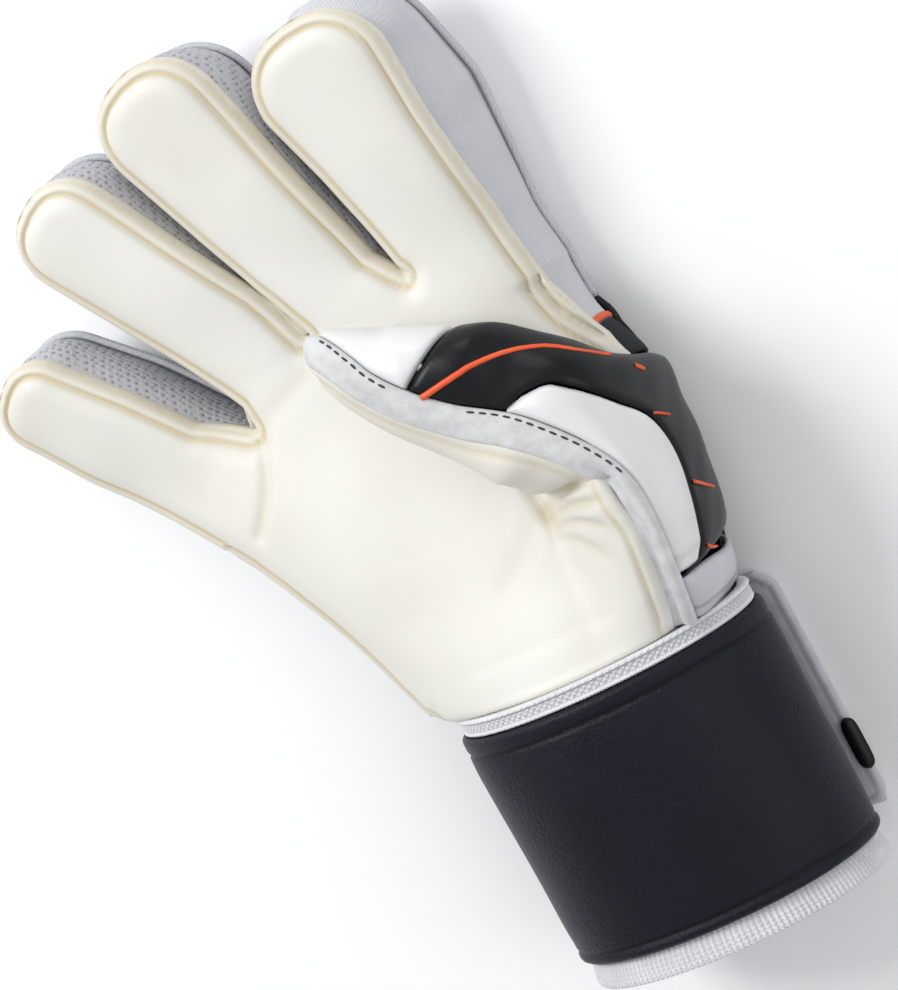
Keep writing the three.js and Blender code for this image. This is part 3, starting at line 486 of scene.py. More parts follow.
# One arithmetic node; numbers are set and sockets are linked
def mathNode(tree, operation, a, b=None, clamp=False):
    node = tree.nodes.new("ShaderNodeMath")
    node.operation = operation
    node.use_clamp = clamp
    for i, value in enumerate((a, b)):
        if value is None:
            continue
        if isinstance(value, (int, float)):
            node.inputs[i].default_value = value
        else:
            tree.links.new(value, node.inputs[i])
    return node.outputs[0]


# Noise on Object coordinates
def noiseNode(tree, scale, detail=3.0, roughness=0.5, vector=None):
    node = tree.nodes.new("ShaderNodeTexNoise")
    node.inputs["Detail"].default_value = detail
    node.inputs["Roughness"].default_value = roughness
    if isinstance(scale, (int, float)):
        node.inputs["Scale"].default_value = scale
    else:
        tree.links.new(scale, node.inputs["Scale"])
    tree.links.new(vector or tree.nodes.new("ShaderNodeTexCoord").outputs["Object"], node.inputs["Vector"])
    return node.outputs[0]


# Soft mottle: colour drifts between two tones, and fine grain for the bump
def buildGrainGroup():
    group, given, result = newGroup(
        "soft grain",
        [("Coarse", "NodeSocketFloat", 60.0), ("Fine", "NodeSocketFloat", 900.0)],
        [("Drift", "NodeSocketFloat"), ("Grain", "NodeSocketFloat")])
    coarse = noiseNode(group, given.outputs["Coarse"], 2.0)
    fine = noiseNode(group, given.outputs["Fine"], 4.0, 0.6)
    group.links.new(mathNode(group, "SUBTRACT", mathNode(group, "MULTIPLY", coarse, 2.0), 0.5, True),
                    result.inputs["Drift"])
    group.links.new(fine, result.inputs["Grain"])
    return group


# Woven threads: height sin(px) * sin(py) of two sets of threads, turned between the axes
def buildWeaveGroup():
    group, given, result = newGroup(
        "woven threads",
        [("Pitch", "NodeSocketFloat", 1500.0)],
        [("Height", "NodeSocketFloat"), ("Hole", "NodeSocketFloat")])
    place = group.nodes.new("ShaderNodeTexCoord")
    split = group.nodes.new("ShaderNodeSeparateXYZ")
    group.links.new(place.outputs["Object"], split.inputs[0])
    first = mathNode(group, "ADD", split.outputs[0], mathNode(group, "MULTIPLY", split.outputs[1], 0.45))
    upright = mathNode(group, "MULTIPLY", split.outputs[2], 1.1)
    second = mathNode(group, "ADD", upright, mathNode(group, "MULTIPLY", split.outputs[1], 0.8))
    waves = [mathNode(group, "SINE", mathNode(group, "MULTIPLY", v, given.outputs["Pitch"])) for v in (first, second)]
    height = mathNode(group, "MULTIPLY", *waves)
    group.links.new(height, result.inputs["Height"])
    group.links.new(mathNode(group, "SUBTRACT", mathNode(group, "MULTIPLY", height, 2.2), 0.9, True),
                    result.inputs["Hole"])
    return group


# Net cells: holes where the distance to a cell's centre is small, cells nearly regular
def buildNetGroup():
    group, given, result = newGroup(
        "net cells",
        [("Pitch", "NodeSocketFloat", 600.0)],
        [("Height", "NodeSocketFloat"), ("Hole", "NodeSocketFloat")])
    place = group.nodes.new("ShaderNodeTexCoord")
    cells = group.nodes.new("ShaderNodeTexVoronoi")
    cells.inputs["Randomness"].default_value = 0.22
    group.links.new(place.outputs["Object"], cells.inputs["Vector"])
    group.links.new(given.outputs["Pitch"], cells.inputs["Scale"])
    reach = cells.outputs["Distance"]
    group.links.new(mathNode(group, "MULTIPLY", reach, 1.6, True), result.inputs["Height"])
    group.links.new(mathNode(group, "SUBTRACT", 1.7, mathNode(group, "MULTIPLY", reach, 4.0), True),
                    result.inputs["Hole"])
    return group


grainGroup, weaveGroup, netGroup = buildGrainGroup(), buildWeaveGroup(), buildNetGroup()


# A material: two tones by drift, a third where the piece's tone is high (painted shade on most pieces, the piece's own
# colour on a few), grain or weave as bump
def makeMaterial(name, low, high, roughness, tintAndShade=None, coat=0.0, grain=0.1, coarse=60.0, fine=900.0,
                 weave=None, weaveBump=0.3, hole=None, sheen=0.0, specular=0.5, net=None):
    material = bpy.data.materials.new(name)
    material.use_nodes = True
    tree = material.node_tree
    shader = tree.nodes["Principled BSDF"]
    shader.inputs["Roughness"].default_value = roughness
    shader.inputs["Coat Weight"].default_value = coat
    shader.inputs["Specular IOR Level"].default_value = specular
    shader.inputs["Coat Roughness"].default_value = 0.25
    shader.inputs["Sheen Weight"].default_value = sheen

    def blendColors(factor, a, b):
        node = tree.nodes.new("ShaderNodeMix")
        node.data_type = "RGBA"
        tree.links.new(factor, node.inputs["Factor"])
        for key, value in (("A", a), ("B", b)):
            socket = [s for s in node.inputs if s.name == key and s.type == "RGBA"][0]
            if isinstance(value, tuple):
                socket.default_value = (*value, 1)
            else:
                tree.links.new(value, socket)
        return [s for s in node.outputs if s.type == "RGBA"][0]

    soft = tree.nodes.new("ShaderNodeGroup")
    soft.node_tree = grainGroup
    soft.inputs["Coarse"].default_value = coarse
    soft.inputs["Fine"].default_value = fine
    color = blendColors(soft.outputs["Drift"], low, high)
    height = mathNode(tree, "MULTIPLY", soft.outputs["Grain"], grain)
    if weave or net:
        cloth = tree.nodes.new("ShaderNodeGroup")
        cloth.node_tree = weaveGroup if weave else netGroup
        cloth.inputs["Pitch"].default_value = weave or net
        if hole:
            color = blendColors(cloth.outputs["Hole"], color, hole)
        height = mathNode(tree, "ADD", height, mathNode(tree, "MULTIPLY", cloth.outputs["Height"], weaveBump))
    if tintAndShade:
        # The tone attribute mixes in the third colour: painted shade in grooves, creases and hollows on most pieces
        attribute = tree.nodes.new("ShaderNodeAttribute")
        attribute.attribute_name = "tone"
        color = blendColors(mathNode(tree, "MULTIPLY", attribute.outputs["Fac"], 1.0, True), color, tintAndShade)
    tree.links.new(color, shader.inputs["Base Color"])
    bump = tree.nodes.new("ShaderNodeBump")
    bump.inputs["Strength"].default_value = 0.35
    bump.inputs["Distance"].default_value = 0.0006
    tree.links.new(height, bump.inputs["Height"])
    tree.links.new(bump.outputs["Normal"], shader.inputs["Normal"])
    return material


# Latex: its third colour is painted shade in the sewn grooves, creases and folds, and the creamier rim at the cut edge,
# partly the foam's own colour and partly painted shade
latex = makeMaterial("latex foam", (0.71, 0.69, 0.62), (0.78, 0.77, 0.725), 0.5, tintAndShade=(0.60, 0.50, 0.30),
                     grain=0.25, coarse=22, fine=1400)
blackCoat = makeMaterial("black coated cloth", (0.004, 0.0045, 0.005), (0.008, 0.0085, 0.0095), 0.34, coat=0.05,
                         grain=0.3, fine=700, specular=0.22)
# Off-white panels: their third colour is painted shade along the pressed borders and a crease
whiteCoat = makeMaterial("off-white coated cloth", (0.70, 0.71, 0.70), (0.76, 0.77, 0.76), 0.36, coat=0.25,
                         tintAndShade=(0.33, 0.33, 0.34), grain=0.2, fine=700)
orangeLine = makeMaterial("orange piping", (0.80, 0.085, 0.018), (0.88, 0.12, 0.03), 0.42, grain=0.1)
felt = makeMaterial("felt binding", (0.54, 0.54, 0.545), (0.70, 0.70, 0.70), 0.95, grain=1.6, coarse=260, fine=2600,
                    sheen=0.3)
darkThread = makeMaterial("dark thread", (0.03, 0.03, 0.035), (0.05, 0.05, 0.06), 0.7)
sideCloth = makeMaterial("side cloth", (0.56, 0.56, 0.60), (0.64, 0.64, 0.67), 0.85, tintAndShade=(0.012, 0.012, 0.015),
                         grain=0.6, fine=2600, weave=5200, weaveBump=0.5)
meshCloth = makeMaterial("open mesh cloth", (0.46, 0.46, 0.49), (0.54, 0.54, 0.57), 0.85,
                         tintAndShade=(0.05, 0.05, 0.055), net=620, weaveBump=1.5, hole=(0.27, 0.27, 0.29))
# Finger back cloth: its third colour marks the sewn line on the finger backs, and is painted shade along the wrist
# patch's border and crease
backCloth = makeMaterial("finger back cloth", (0.55, 0.55, 0.58), (0.64, 0.64, 0.67), 0.85, grain=0.8, fine=2600,
                         weave=5200, weaveBump=0.5, tintAndShade=(0.12, 0.12, 0.13))
# Rib knit: its third colour is painted shade in the rib valleys, between the band's crossed threads and in the crevices
# under the strap's edge and the cord
knit = makeMaterial("rib knit", (0.70, 0.70, 0.715), (0.80, 0.80, 0.81), 0.9, tintAndShade=(0.46, 0.46, 0.48), grain=1.0,
                    coarse=150, fine=2200, weave=5600, weaveBump=0.8)
# Dark strap: its third colour is painted shade in the pressed hems
strapCoat = makeMaterial("dark strap", (0.0045, 0.0048, 0.010), (0.008, 0.0083, 0.016), 0.4, coat=0.03,
                         tintAndShade=(0.001, 0.001, 0.002), grain=2.2, coarse=40, fine=900, specular=0.2)
tailCloth = makeMaterial("closure tongue cloth", (0.50, 0.51, 0.53), (0.62, 0.63, 0.65), 0.92, grain=1.8,
                         coarse=200, fine=2600, tintAndShade=(0.26, 0.26, 0.28))
print("materials", round(time.time() - started, 1))


# Palm: one foam sheet with the fingers' fronts and the thumb's underside
palm = dict(thickness=4.0, groove=3.3, grooveWide=0.7, grooveDeep=1.35, edge=1.5, edgeDrop=1.3, swell=1.0,
            swellReach=5.0, ridgeGroove=4.4, across=38, lowRows=50, highRows=50, fingerRows=78, thumbRows=64)
# Creases: line, depth, width; negative depth is a fold that stands up
palmCreases = [
    ([(-57.5, 172.5), (-62, 161), (-70, 151)], 0.9, 2.0),
    ([(-37, 184), (-48, 180), (-57, 177.5)], 0.35, 3.0),
    ([(-8, 112), (4, 121), (8, 128)], 0.35, 3.5),
]


# Height and tone of the foam: rounded cut edge, sewn groove, swell 1 - exp(-d / reach) inside it, creases; the tone is
# painted shade in the groove and creases, and a creamier rim that is partly the foam's own colour and partly painted
# shade
def palmRelief(xy, sizes=palm):
    d = distanceTo(palmOutline, xy)
    dRidge = distanceTo(ridgeLine, xy)
    wrist = xy[..., 1] - wristY
    groove = bell(d - sizes["groove"], sizes["grooveWide"])
    groove = np.maximum(groove, 0.8 * bell(dRidge - sizes["ridgeGroove"], 0.8) * (xy[..., 1] < 131))
    inner = np.minimum(d, dRidge)
    z = -edgeBend(np.minimum(d, wrist), sizes["edgeDrop"], sizes["edge"])
    z = z - sizes["grooveDeep"] * groove * smooth(-1, 5, wrist)
    z = z + sizes["swell"] * (1 - np.exp(-np.maximum(inner - sizes["groove"], 0) / sizes["swellReach"]))
    # Painted shade in the sewn groove, and a creamier rim out to the cut edge, partly the foam's colour and partly
    # painted shade
    tone = 0.75 * groove + 0.3 * (1 - smooth(0.3, 1.6, d)) + 0.2 * (1 - smooth(3.0, 4.6, d))
    for line, depth, width in palmCreases:
        path = resample(line, 14)
        fall = bell(distanceTo(path, xy), width)
        z = z - depth * fall
        # Painted shade in each crease that is pressed in
        tone = tone + max(depth, 0) * 0.22 * fall
    return z + wander(xy, 34, 0.35, 4), tone


# A foam sheet: face, underside and rounded rims along the borders that are named
def foamParts(outer, inner, tone, borders, bulge=0.45):
    parts = [gridPart(outer, tone), gridPart(inner, flip=True)]
    lines = {"left": (slice(None), 0), "right": (slice(None), -1), "low": (0, slice(None)), "high": (-1, slice(None))}
    inward = {"left": (slice(None), 1), "right": (slice(None), -2), "low": (1, slice(None)), "high": (-2, slice(None))}
    for name in borders:
        top, bottom = outer[lines[name]], inner[lines[name]]
        out = unit(top - outer[inward[name]]) * np.array([1, 1, 0])
        w = np.linspace(0, 1, 6)[:, None, None]
        rim = mix(top[None], bottom[None], w) + out[None] * (bulge * np.sin(np.pi * w) - 0.25 * w)
        rim[-1] = bottom
        # The rim sides take a darker cream that grows toward the underside: partly the foam's cut-edge colour and
        # partly painted shade
        parts.append(gridPart(rim, 0.25 + 0.1 * w[..., 0]))
    return parts


# The palm in three sheets of one grid width, then four fingers and the thumb's underside
def buildPalm(sizes=palm):
    down = np.array([0, 0, -sizes["thickness"]])
    even = np.linspace(0, 1, sizes["across"] + 1)
    shares = 0.45 * even + 0.55 * (1 - np.cos(np.pi * even)) / 2
    roots = rootLine(False)
    line, quarter = acrossRoots(roots, shares)
    cut = 3 * sizes["across"]
    lowLeft, lowRight = heelEdge(slit[1], False), thumbSideEdge(slit[1], False)
    rightShare = (quarter[cut:] - 0.75) / 0.25
    lip = np.repeat(slit[None], len(line), 0)
    lip[:cut + 1, 0] = mix(lowLeft[0], slit[0], quarter[:cut + 1] / 0.75)
    lip[cut:, 0] = mix(slit[0], lowRight[0], rightShare)
    highLip = lip.copy()
    highLip[cut:] = slit + (web - slit) * rightShare[:, None]
    parts = []

    # wrist to slit
    y = mix(wristY, slit[1], np.linspace(0, 1, sizes["lowRows"]))
    left, right = heelEdge(y, False), thumbSideEdge(y, False)
    fit = (lip[:, 0] - lowLeft[0]) / (lowRight[0] - lowLeft[0])
    column = mix(quarter[None, :], fit[None, :], smooth(0.3, 1, (y - wristY) / (slit[1] - wristY))[:, None])
    low = left[:, None] + (right - left)[:, None] * column[..., None]
    relief, tone = palmRelief(low)
    low = withHeight(low, palmTop(low, None, 1) + relief)
    parts += foamParts(low, low + down, tone, ["left", "right", "low"])

    # slit to the fingers' roots; its first row keeps the height of the row below
    t = np.linspace(0, 1, sizes["highRows"])
    high = highLip[None] + (line - highLip)[None] * t[:, None, None]
    edge = heelEdge(mix(slit[1], roots[0][1], t), False) - high[:, 0]
    edge[-1] = 0
    high = high + edge[:, None] * ((1 - quarter) ** 6)[None, :, None]
    relief, tone = palmRelief(high)
    top = palmTop(high, None, 0) + relief
    settle = np.zeros(len(line))
    settle[:cut + 1] = low[-1, :cut + 1, 2] - top[0, :cut + 1]
    settle[cut:] = settle[cut] * (1 - smooth(0, 0.25, rightShare))
    top = top + settle[None, :] * (1 - smooth(0, 0.4, t))[:, None]
    high = withHeight(high, top)
    parts += foamParts(high, high + down, tone, ["left", "right"])
    parts += foamParts(high[:2, cut:], high[:2, cut:] + down, tone[:2, cut:], ["low"])[2:]

    # fingers
    for k, name in enumerate(fingerNames):
        start = line[k * sizes["across"]:(k + 1) * sizes["across"] + 1]
        grid, blend = fingerGrid(name, False, start, shares, sizes["fingerRows"])
        relief, tone = palmRelief(grid)
        grid = withHeight(grid, palmTop(grid, name, 0, blend) + relief)
        parts += foamParts(grid, grid + down, tone, ["left", "right"])

    # the thumb's underside starts on the points of the slit's lip
    rows = np.concatenate([np.linspace(4, 6, 26), np.linspace(6, 13.95, sizes["thumbRows"] - 25)[1:]])
    thumb = thumbPoint(rows[:, None], (1 - rightShare)[None, :], True)
    thumb = mix(thumb, low[-1, cut:][None], (1 - smooth(4.0, 5.2, rows))[:, None, None])
    normals = gridNormals(thumb, -1)
    fold = bell(distanceTo(thumb[:, -1], thumb) - sizes["ridgeGroove"] - 1.4, 0.9) * smooth(4.2, 5.5, rows)[:, None]
    uneven = wander(thumb, 18, 0.35, 6) * smooth(4.3, 5.5, rows)[:, None]
    thumb = thumb + normals * (uneven - 0.6 * fold)[..., None]
    thin = thumb - normals * (2.2 * (1 - smooth(9, 13.9, rows) * 0.9))[:, None, None]
    inner = mix(thumb + down, thin, smooth(4.0, 5.0, rows)[:, None, None])
    # The underside's tone is painted shade: some all over the underside, which faces away from the light, and more in
    # the fold beside the ridge
    parts += foamParts(thumb, inner, 0.35 * fold + 0.12, ["left", "right", "high"], 0.1)
    return makePiece("palm_foam", parts, latex, recalc=True)


# Folds that fan out from the bottom of the thumb's gap: line, depth, width
thumbFolds = [
    ([(7.5, 133), (9, 125), (11, 118)], 1.3, 1.7),
    ([(9, 124.5), (20, 128.5), (34, 131.5)], 1.1, 1.5),
    ([(9.5, 122.5), (21, 124.8), (35, 124)], 1.2, 1.4),
    ([(10, 120.3), (21, 119.8), (33, 115)], 0.9, 1.5),
    ([(10, 118), (18, 114), (27, 106)], 0.6, 1.8),
    ([(10, 123.5), (21, 126.6), (33, 127.5)], -0.8, 1.5),
    ([(10, 121.4), (21, 122.3), (32, 119.5)], -0.7, 1.6),
    ([(10.5, 119), (19, 117), (29, 110.5)], -0.5, 1.8),
]


# The box round the lip between palm and thumb, and how often its points move half way to their neighbours
lipSizes = dict(low=(6, 118, 36), high=(37, 139, 99), rounds=14, reachFrom=38, reachTo=33, above=40)


# Each point moves half way to the mean of its neighbours, several times; then the folds are pressed in and darkened
# with painted shade
def softenLip(piece, folds=thumbFolds, sizes=lipSizes):
    mesh = piece.data
    count = len(mesh.vertices)
    place, edges = np.empty(count * 3, np.float32), np.empty(len(mesh.edges) * 2, np.int32)
    mesh.vertices.foreach_get("co", place)
    mesh.edges.foreach_get("vertices", edges)
    place, (first, second) = place.reshape(-1, 3).astype(float) * 1000 - shift, edges.reshape(-1, 2).T
    near = np.all((place > sizes["low"]) & (place < sizes["high"]), axis=1)[:, None]
    used = near[first, 0] | near[second, 0]
    here, there = np.concatenate([first[used], second[used]]), np.concatenate([second[used], first[used]])
    degree = np.maximum(np.bincount(here, minlength=count), 1)[:, None]
    for _ in range(sizes["rounds"]):
        total = np.stack([np.bincount(here, place[there, i], count) for i in range(3)], 1)
        place = np.where(near, mix(place, total / degree, 0.5), place)
    setPlaces(mesh, place)
    mesh.update()
    normal, tone = np.empty(count * 3, np.float32), np.empty(count, np.float32)
    mesh.vertices.foreach_get("normal", normal)
    mesh.attributes["tone"].data.foreach_get("value", tone)
    normal = normal.reshape(-1, 3)
    xy = place[:, :2]
    reach = (place[:, 2] > sizes["above"]) * smooth(sizes["reachFrom"], sizes["reachTo"], xy[:, 0])
    for line, depth, width in folds:
        path = resample(line, 14)
        ends = np.minimum(np.linalg.norm(xy - path[-1], axis=1) / 9, 1)
        fall = bell(distanceTo(path, xy), width) * reach * smooth(0, 1, ends)
        place = place - normal * (depth * fall)[:, None]
        # Painted shade in each fold that is pressed in
        tone = tone + max(depth, 0) * 0.3 * fall
    setPlaces(mesh, place)
    mesh.attributes["tone"].data.foreach_set("value", tone.astype(np.float32))
    mesh.update()


palmPiece = buildPalm()
softenLip(palmPiece)
dress(palmPiece, "latex", 0.8, "palm_latex", "thumb_latex")
print("palm", round(time.time() - started, 1))


# Side strips between the palm's edge and the back's edge
strip = dict(steps=44, columns=11, palmIn=1.2, backIn=2.5, bulge=1.9, indexBulge=3.1, thickness=1.0, seam=0.12,
             openRoom=20.0, blackFrom=162, blackTo=160.6, pipingY=161.3)


# Directions of a line of points, at corners the bisector
def heading(points):
    ways = unit(np.diff(points, axis=0))
    return unit(np.concatenate([ways[:1], ways[:-1] + ways[1:], ways[-1:]]))


# A strip: from the back's edge to the palm's edge in equal shares, swelled out by sin to the power 0.8
def buildStrip(key, material, sizes=strip):
    palmLine, backLine = routes(False, sizes["steps"])[key], routes(True, sizes["steps"])[key]
    count = len(palmLine)
    names = key.split("_")
    isPair = names[1] != "outer"
    palmOut, backOut = (heading(v) @ np.array([[0, 1], [-1, 0]]) for v in (palmLine, backLine))
    if isPair:
        half = count // 2
        owner = [names[0]] * half + [names[1]] * (count - half)
        others = [(v[half:], v[:half]) for v in (palmLine, backLine)]
        room = np.minimum(*[np.concatenate([distanceTo(o[0], v[:half]), distanceTo(o[1], v[half:])])
                            for o, v in zip(others, (palmLine, backLine))])
    else:
        owner = [names[0]] * count
        room = np.full(count, sizes["openRoom"])
    low = backLine - backOut * sizes["backIn"]
    high = palmLine - palmOut * sizes["palmIn"]
    owned = [np.array([name == other for other in owner]) for name in fingerNames]
    lowZ, highZ = backBottom(low) + 2.3, palmTop(high) - palm["thickness"] + 0.5
    for name, mine in zip(fingerNames, owned):
        lowZ = lowZ + mine * fingerRaise(name, True, low)
        highZ = highZ + mine * fingerRaise(name, False, high)
    w = np.linspace(0, 1, sizes["columns"])
    bulge = sizes["indexBulge" if key == "index_outer" else "bulge"]
    swell = np.minimum(bulge, 0.3 * room)[:, None] * np.sin(np.pi * w)[None] ** 0.8
    flat = mix(low[:, None], high[:, None], w[None, :, None])
    flat = flat + unit(mix(backOut[:, None], palmOut[:, None], w[None, :, None])) * swell[..., None]
    grid = withHeight(flat, mix(lowZ[:, None], highZ[:, None], w[None]))
    tone = 0.75 * bell(w - sizes["seam"], 0.05)[None, :]
    if key == "index_outer":
        tone = np.maximum(tone, smooth(sizes["blackFrom"], sizes["blackTo"], grid[:, 5:6, 1]))
    piece = makePiece("strip_" + key, [gridPart(grid, tone)], material)
    thicken(piece, sizes["thickness"])
    area = np.linalg.norm(np.cross(np.diff(grid, axis=0)[:, :-1], np.diff(grid, axis=1)[:-1]), axis=-1).sum() / 1e6
    return piece, grid, area


stripCuts = {"little_outer": (0.034, 0.145), "little_ring": (0.034, 0.115), "ring_middle": (0.034, 0.145),
             "middle_index": (0.034, 0.155), "index_outer": (0.034, 0.13)}
stripGrids = {}
for key, cutSize in stripCuts.items():
    isMesh = key in ("little_ring", "ring_middle", "middle_index")
    piece, stripGrids[key], area = buildStrip(key, meshCloth if isMesh else sideCloth)
    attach(piece, "root")
    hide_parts("gusset_" + key)
    print("strip", key, "area", round(area, 5), "of", round(cutSize[0] * cutSize[1], 5))
print("strips", round(time.time() - started, 1))


# Finger backs and black back panel: sheets that lie on the surface, their edges turned up
back = dict(across=22, rows=44, thickness=1.8, handRows=40, seam=3.0, indexCornerY=166)


# Points of a back sheet: its lower face, a turned edge and a sewn line beside it
def backGrid(xy, name=None, blend=1):
    z = backBottom(xy, name, blend)
    d = distanceTo(backOutline, xy)
    seam = 0.5 * bell(d - back["seam"], 0.5)
    return withHeight(xy, z + 0.7 * edgeBend(d, 1, 1.4) + seam), seam


# Four finger backs in one piece, and the black back from the wrist to their root line
def buildBacks(sizes=back):
    even = np.linspace(0, 1, sizes["across"] + 1)
    line = rootLine(True)
    line[-1] = thumbSideEdge(sizes["indexCornerY"], True)
    parts = []
    for k, name in enumerate(fingerNames):
        start = line[k] + (line[k + 1] - line[k]) * mix(0.01, 0.99, even)[:, None]
        grid, blend = fingerGrid(name, True, start, even, sizes["rows"], 0.2)
        grid, tone = backGrid(grid, name, blend)
        parts.append(gridPart(grid, tone, flip=True))
    cloth = thicken(makePiece("finger_backs", parts, backCloth), sizes["thickness"])
    top, quarter = acrossRoots(line, even)
    top = top - [0, 0.4]
    t = np.linspace(0, 1, sizes["handRows"])
    left, right = heelEdge(mix(wristY, top[0, 1], t), True), thumbSideEdge(mix(wristY, top[-1, 1], t), True)
    grid = left[:, None] + (right - left)[:, None] * quarter[None, :, None]
    grid = mix(grid, top[None], smooth(0.3, 1, t)[:, None, None])
    grid, tone = backGrid(grid)
    hand = makePiece("back_of_hand", [gridPart(grid, tone, flip=True)], blackCoat)
    return cloth, thicken(hand, sizes["thickness"])


fingerBacks, handBack = buildBacks()
dress(fingerBacks, "cloth", 0.3, *["finger_back_" + name for name in fingerNames])
dress(handBack, "black_panel", 0.3, "backhand_panel")
print("backs", round(time.time() - started, 1))


# Thumb's back: padded panels with pressed seams between them
thumb = dict(thickness=1.5, edge=1.7, edgeDrop=0.9, swell=0.75, reach=4.0, wave=16, uneven=0.35, across=34)


# Share of the thumb's back that the light panel covers at row t
def baseShare(t):
    inside = (t >= basePanel[0, 0]) & (t <= basePanel[-1, 0])
    return np.where(inside, curveAt(basePanel, rowAt(basePanel[:, 0], t))[..., 1], 0)


# The row at which the tip panel starts
def tipEdge(share):
    return 8.95 - 0.75 * np.minimum(share, 0.6)


# A panel of the thumb's back, swelled by 1 - exp(-d / reach) with d from its border, its rim pressed down;
# its tone is painted shade: the crease given and a line along the pressed border
def thumbPanel(name, t, share, seed, material, thickness, shade=0.0, wide=0.7, crease=0.0, sizes=thumb):
    grid = thumbPoint(t, share, False)
    d = distanceTo(border(grid), grid)
    height = sizes["swell"] * (1 - np.exp(-d / sizes["reach"])) - edgeBend(d, sizes["edgeDrop"], sizes["edge"])
    height = height + wander(grid, sizes["wave"], sizes["uneven"], seed) * smooth(0, 6, d)
    grid = grid + gridNormals(grid, -1) * height[..., None]
    tone = crease + shade * bell(d, wide)
    return thicken(makePiece(name, [gridPart(grid, tone)], material), thickness)


# The thumb's four panels, each a range of rows t and shares s
def buildThumbPanels(sizes=thumb):
    s = np.linspace(0, 1, sizes["across"] + 1)[None, :]
    s = 0.5 * s + 0.25 * (1 - np.cos(np.pi * s))
    t, u = np.linspace(1.59, 7.03, 84)[:, None], np.linspace(0, 1, 26)[:, None]
    rows = np.concatenate([t + 0 * s, mix(7.03, tipEdge(s), u[1:])])
    shares = np.concatenate([mix(baseShare(t), 1, s), s + 0 * u[1:]])
    black = thumbPanel("thumb_black", rows, shares, 11, blackCoat, sizes["thickness"])
    t = np.linspace(1.62, 7.0, 80)[:, None]
    # Painted shade along a crease across the base panel's low end
    crease = 0.35 * bell(t - 1.93, 0.05) * smooth(0.32, 0.2, baseShare(t) * s)
    base = thumbPanel("thumb_base", t + 0 * s, (baseShare(t) - 0.012) * s, 12, whiteCoat, sizes["thickness"], 0.3,
                      crease=crease)
    v = np.linspace(0, 1, 60)[:, None]
    tip = thumbPanel("thumb_tip", mix(tipEdge(s) + 0.05, 13.95, v), s + 0 * v, 13, whiteCoat, 1.0, 0.3)
    # The wrist patch: painted shade along its border and along a crease across it
    patch = thumbPanel("wrist_patch", mix(0.05, mix(1.54, 1.3, smooth(0.2, 0.8, s)), u), s + 0 * u, 14, backCloth, 1.2,
                       0.25, 0.6, 0.6 * bell(u - 0.42, 0.03))
    return dict(black=black, base=base, tip=tip, patch=patch)


thumbPieces = buildThumbPanels()
for key, node, slotName in (("black", "thumb_black_panel", "black_panel"), ("base", "thumb_base_panel", "white_panel"),
                            ("tip", "thumb_tip_panel", "white_panel"), ("patch", "wrist_side_fabric", "cloth")):
    dress(thumbPieces[key], slotName, 0.5, node)
print("thumb", round(time.time() - started, 1))


# Felt binding over the thumb's seam, with dashes of dark thread along its upper border
binding = dict(under=4.2, underWide=6.0, over=2.9, height=1.1, depth=1.0, rows=220, sides=13)


# A band over the seam: a reach under it and over it, domed by 1 - k cubed, its felt uneven
def buildBinding(sizes=binding):
    t = np.linspace(0.05, 13.97, sizes["rows"])[:, None]
    k = np.linspace(-1, 1, sizes["sides"])[None, :]
    reach = np.where(k < 0, mix(sizes["under"], sizes["underWide"], smooth(2.5, 7.0, t)), sizes["over"])
    under = thumbPoint(t, 0, True, np.abs(np.minimum(k, 0)) * reach)
    over = thumbPoint(t, 0, False, np.maximum(k, 0) * reach)
    grid = np.where((k < 0)[..., None], under, over)
    smoothed = grid.copy()
    smoothed[:, 1:-1] = (grid[:, :-2] + 2 * grid[:, 1:-1] + grid[:, 2:]) / 4
    normals = gridNormals(smoothed, -1)
    normals = unit(normals + 0.8 * normals.mean(1, keepdims=True))
    dome = sizes["height"] * (1 - np.abs(k) ** 3) + 0.15 + wander(smoothed, 5, 0.16, 21)
    top = smoothed + normals * dome[..., None]
    base = (smoothed - normals * sizes["depth"])[:, ::-1]
    loops = np.concatenate([top, base], 1)
    piece = makePiece("thumb_binding", [ribbonPart(loops)], felt, recalc=True)
    path = top[:, int(sizes["sides"] * 0.84)]
    return piece, path, normals[:, int(sizes["sides"] * 0.84)], t[:, 0]


bindingPiece, stitchPath, stitchNormals, stitchRows = buildBinding()
dress(bindingPiece, "felt", 0.6, "thumb_edge_binding")


stitch = dict(length=2.2, pitch=3.2, half=0.32, height=0.3, stretches=((4.0, 7.75), (9.35, 12.9)))


# Dashes of thread, a length at every pitch, along stretches of the seam given as row numbers
def buildStitches(sizes=stitch):
    parts = []
    for start, stop in sizes["stretches"]:
        keep = (stitchRows >= start) & (stitchRows <= stop)
        line, up = stitchPath[keep], stitchNormals[keep]
        run = runOf(line)
        for first in np.arange(0.5, run[-1] - sizes["length"], sizes["pitch"]):
            goal = first + sizes["length"] * np.linspace(0, 1, 7)
            path, normal = readAt(goal, run, line), unit(readAt(goal, run, up))
            ends = np.sqrt(np.maximum(1 - np.linspace(-1, 1, 7) ** 4, 0.05))
            parts.append(ribbonPart(ribbon(path, normal, sizes["half"] * ends, sizes["height"] * ends, 0.02, 5)))
    return makePiece("thumb_stitches", parts, darkThread, merge=0.002, recalc=True)


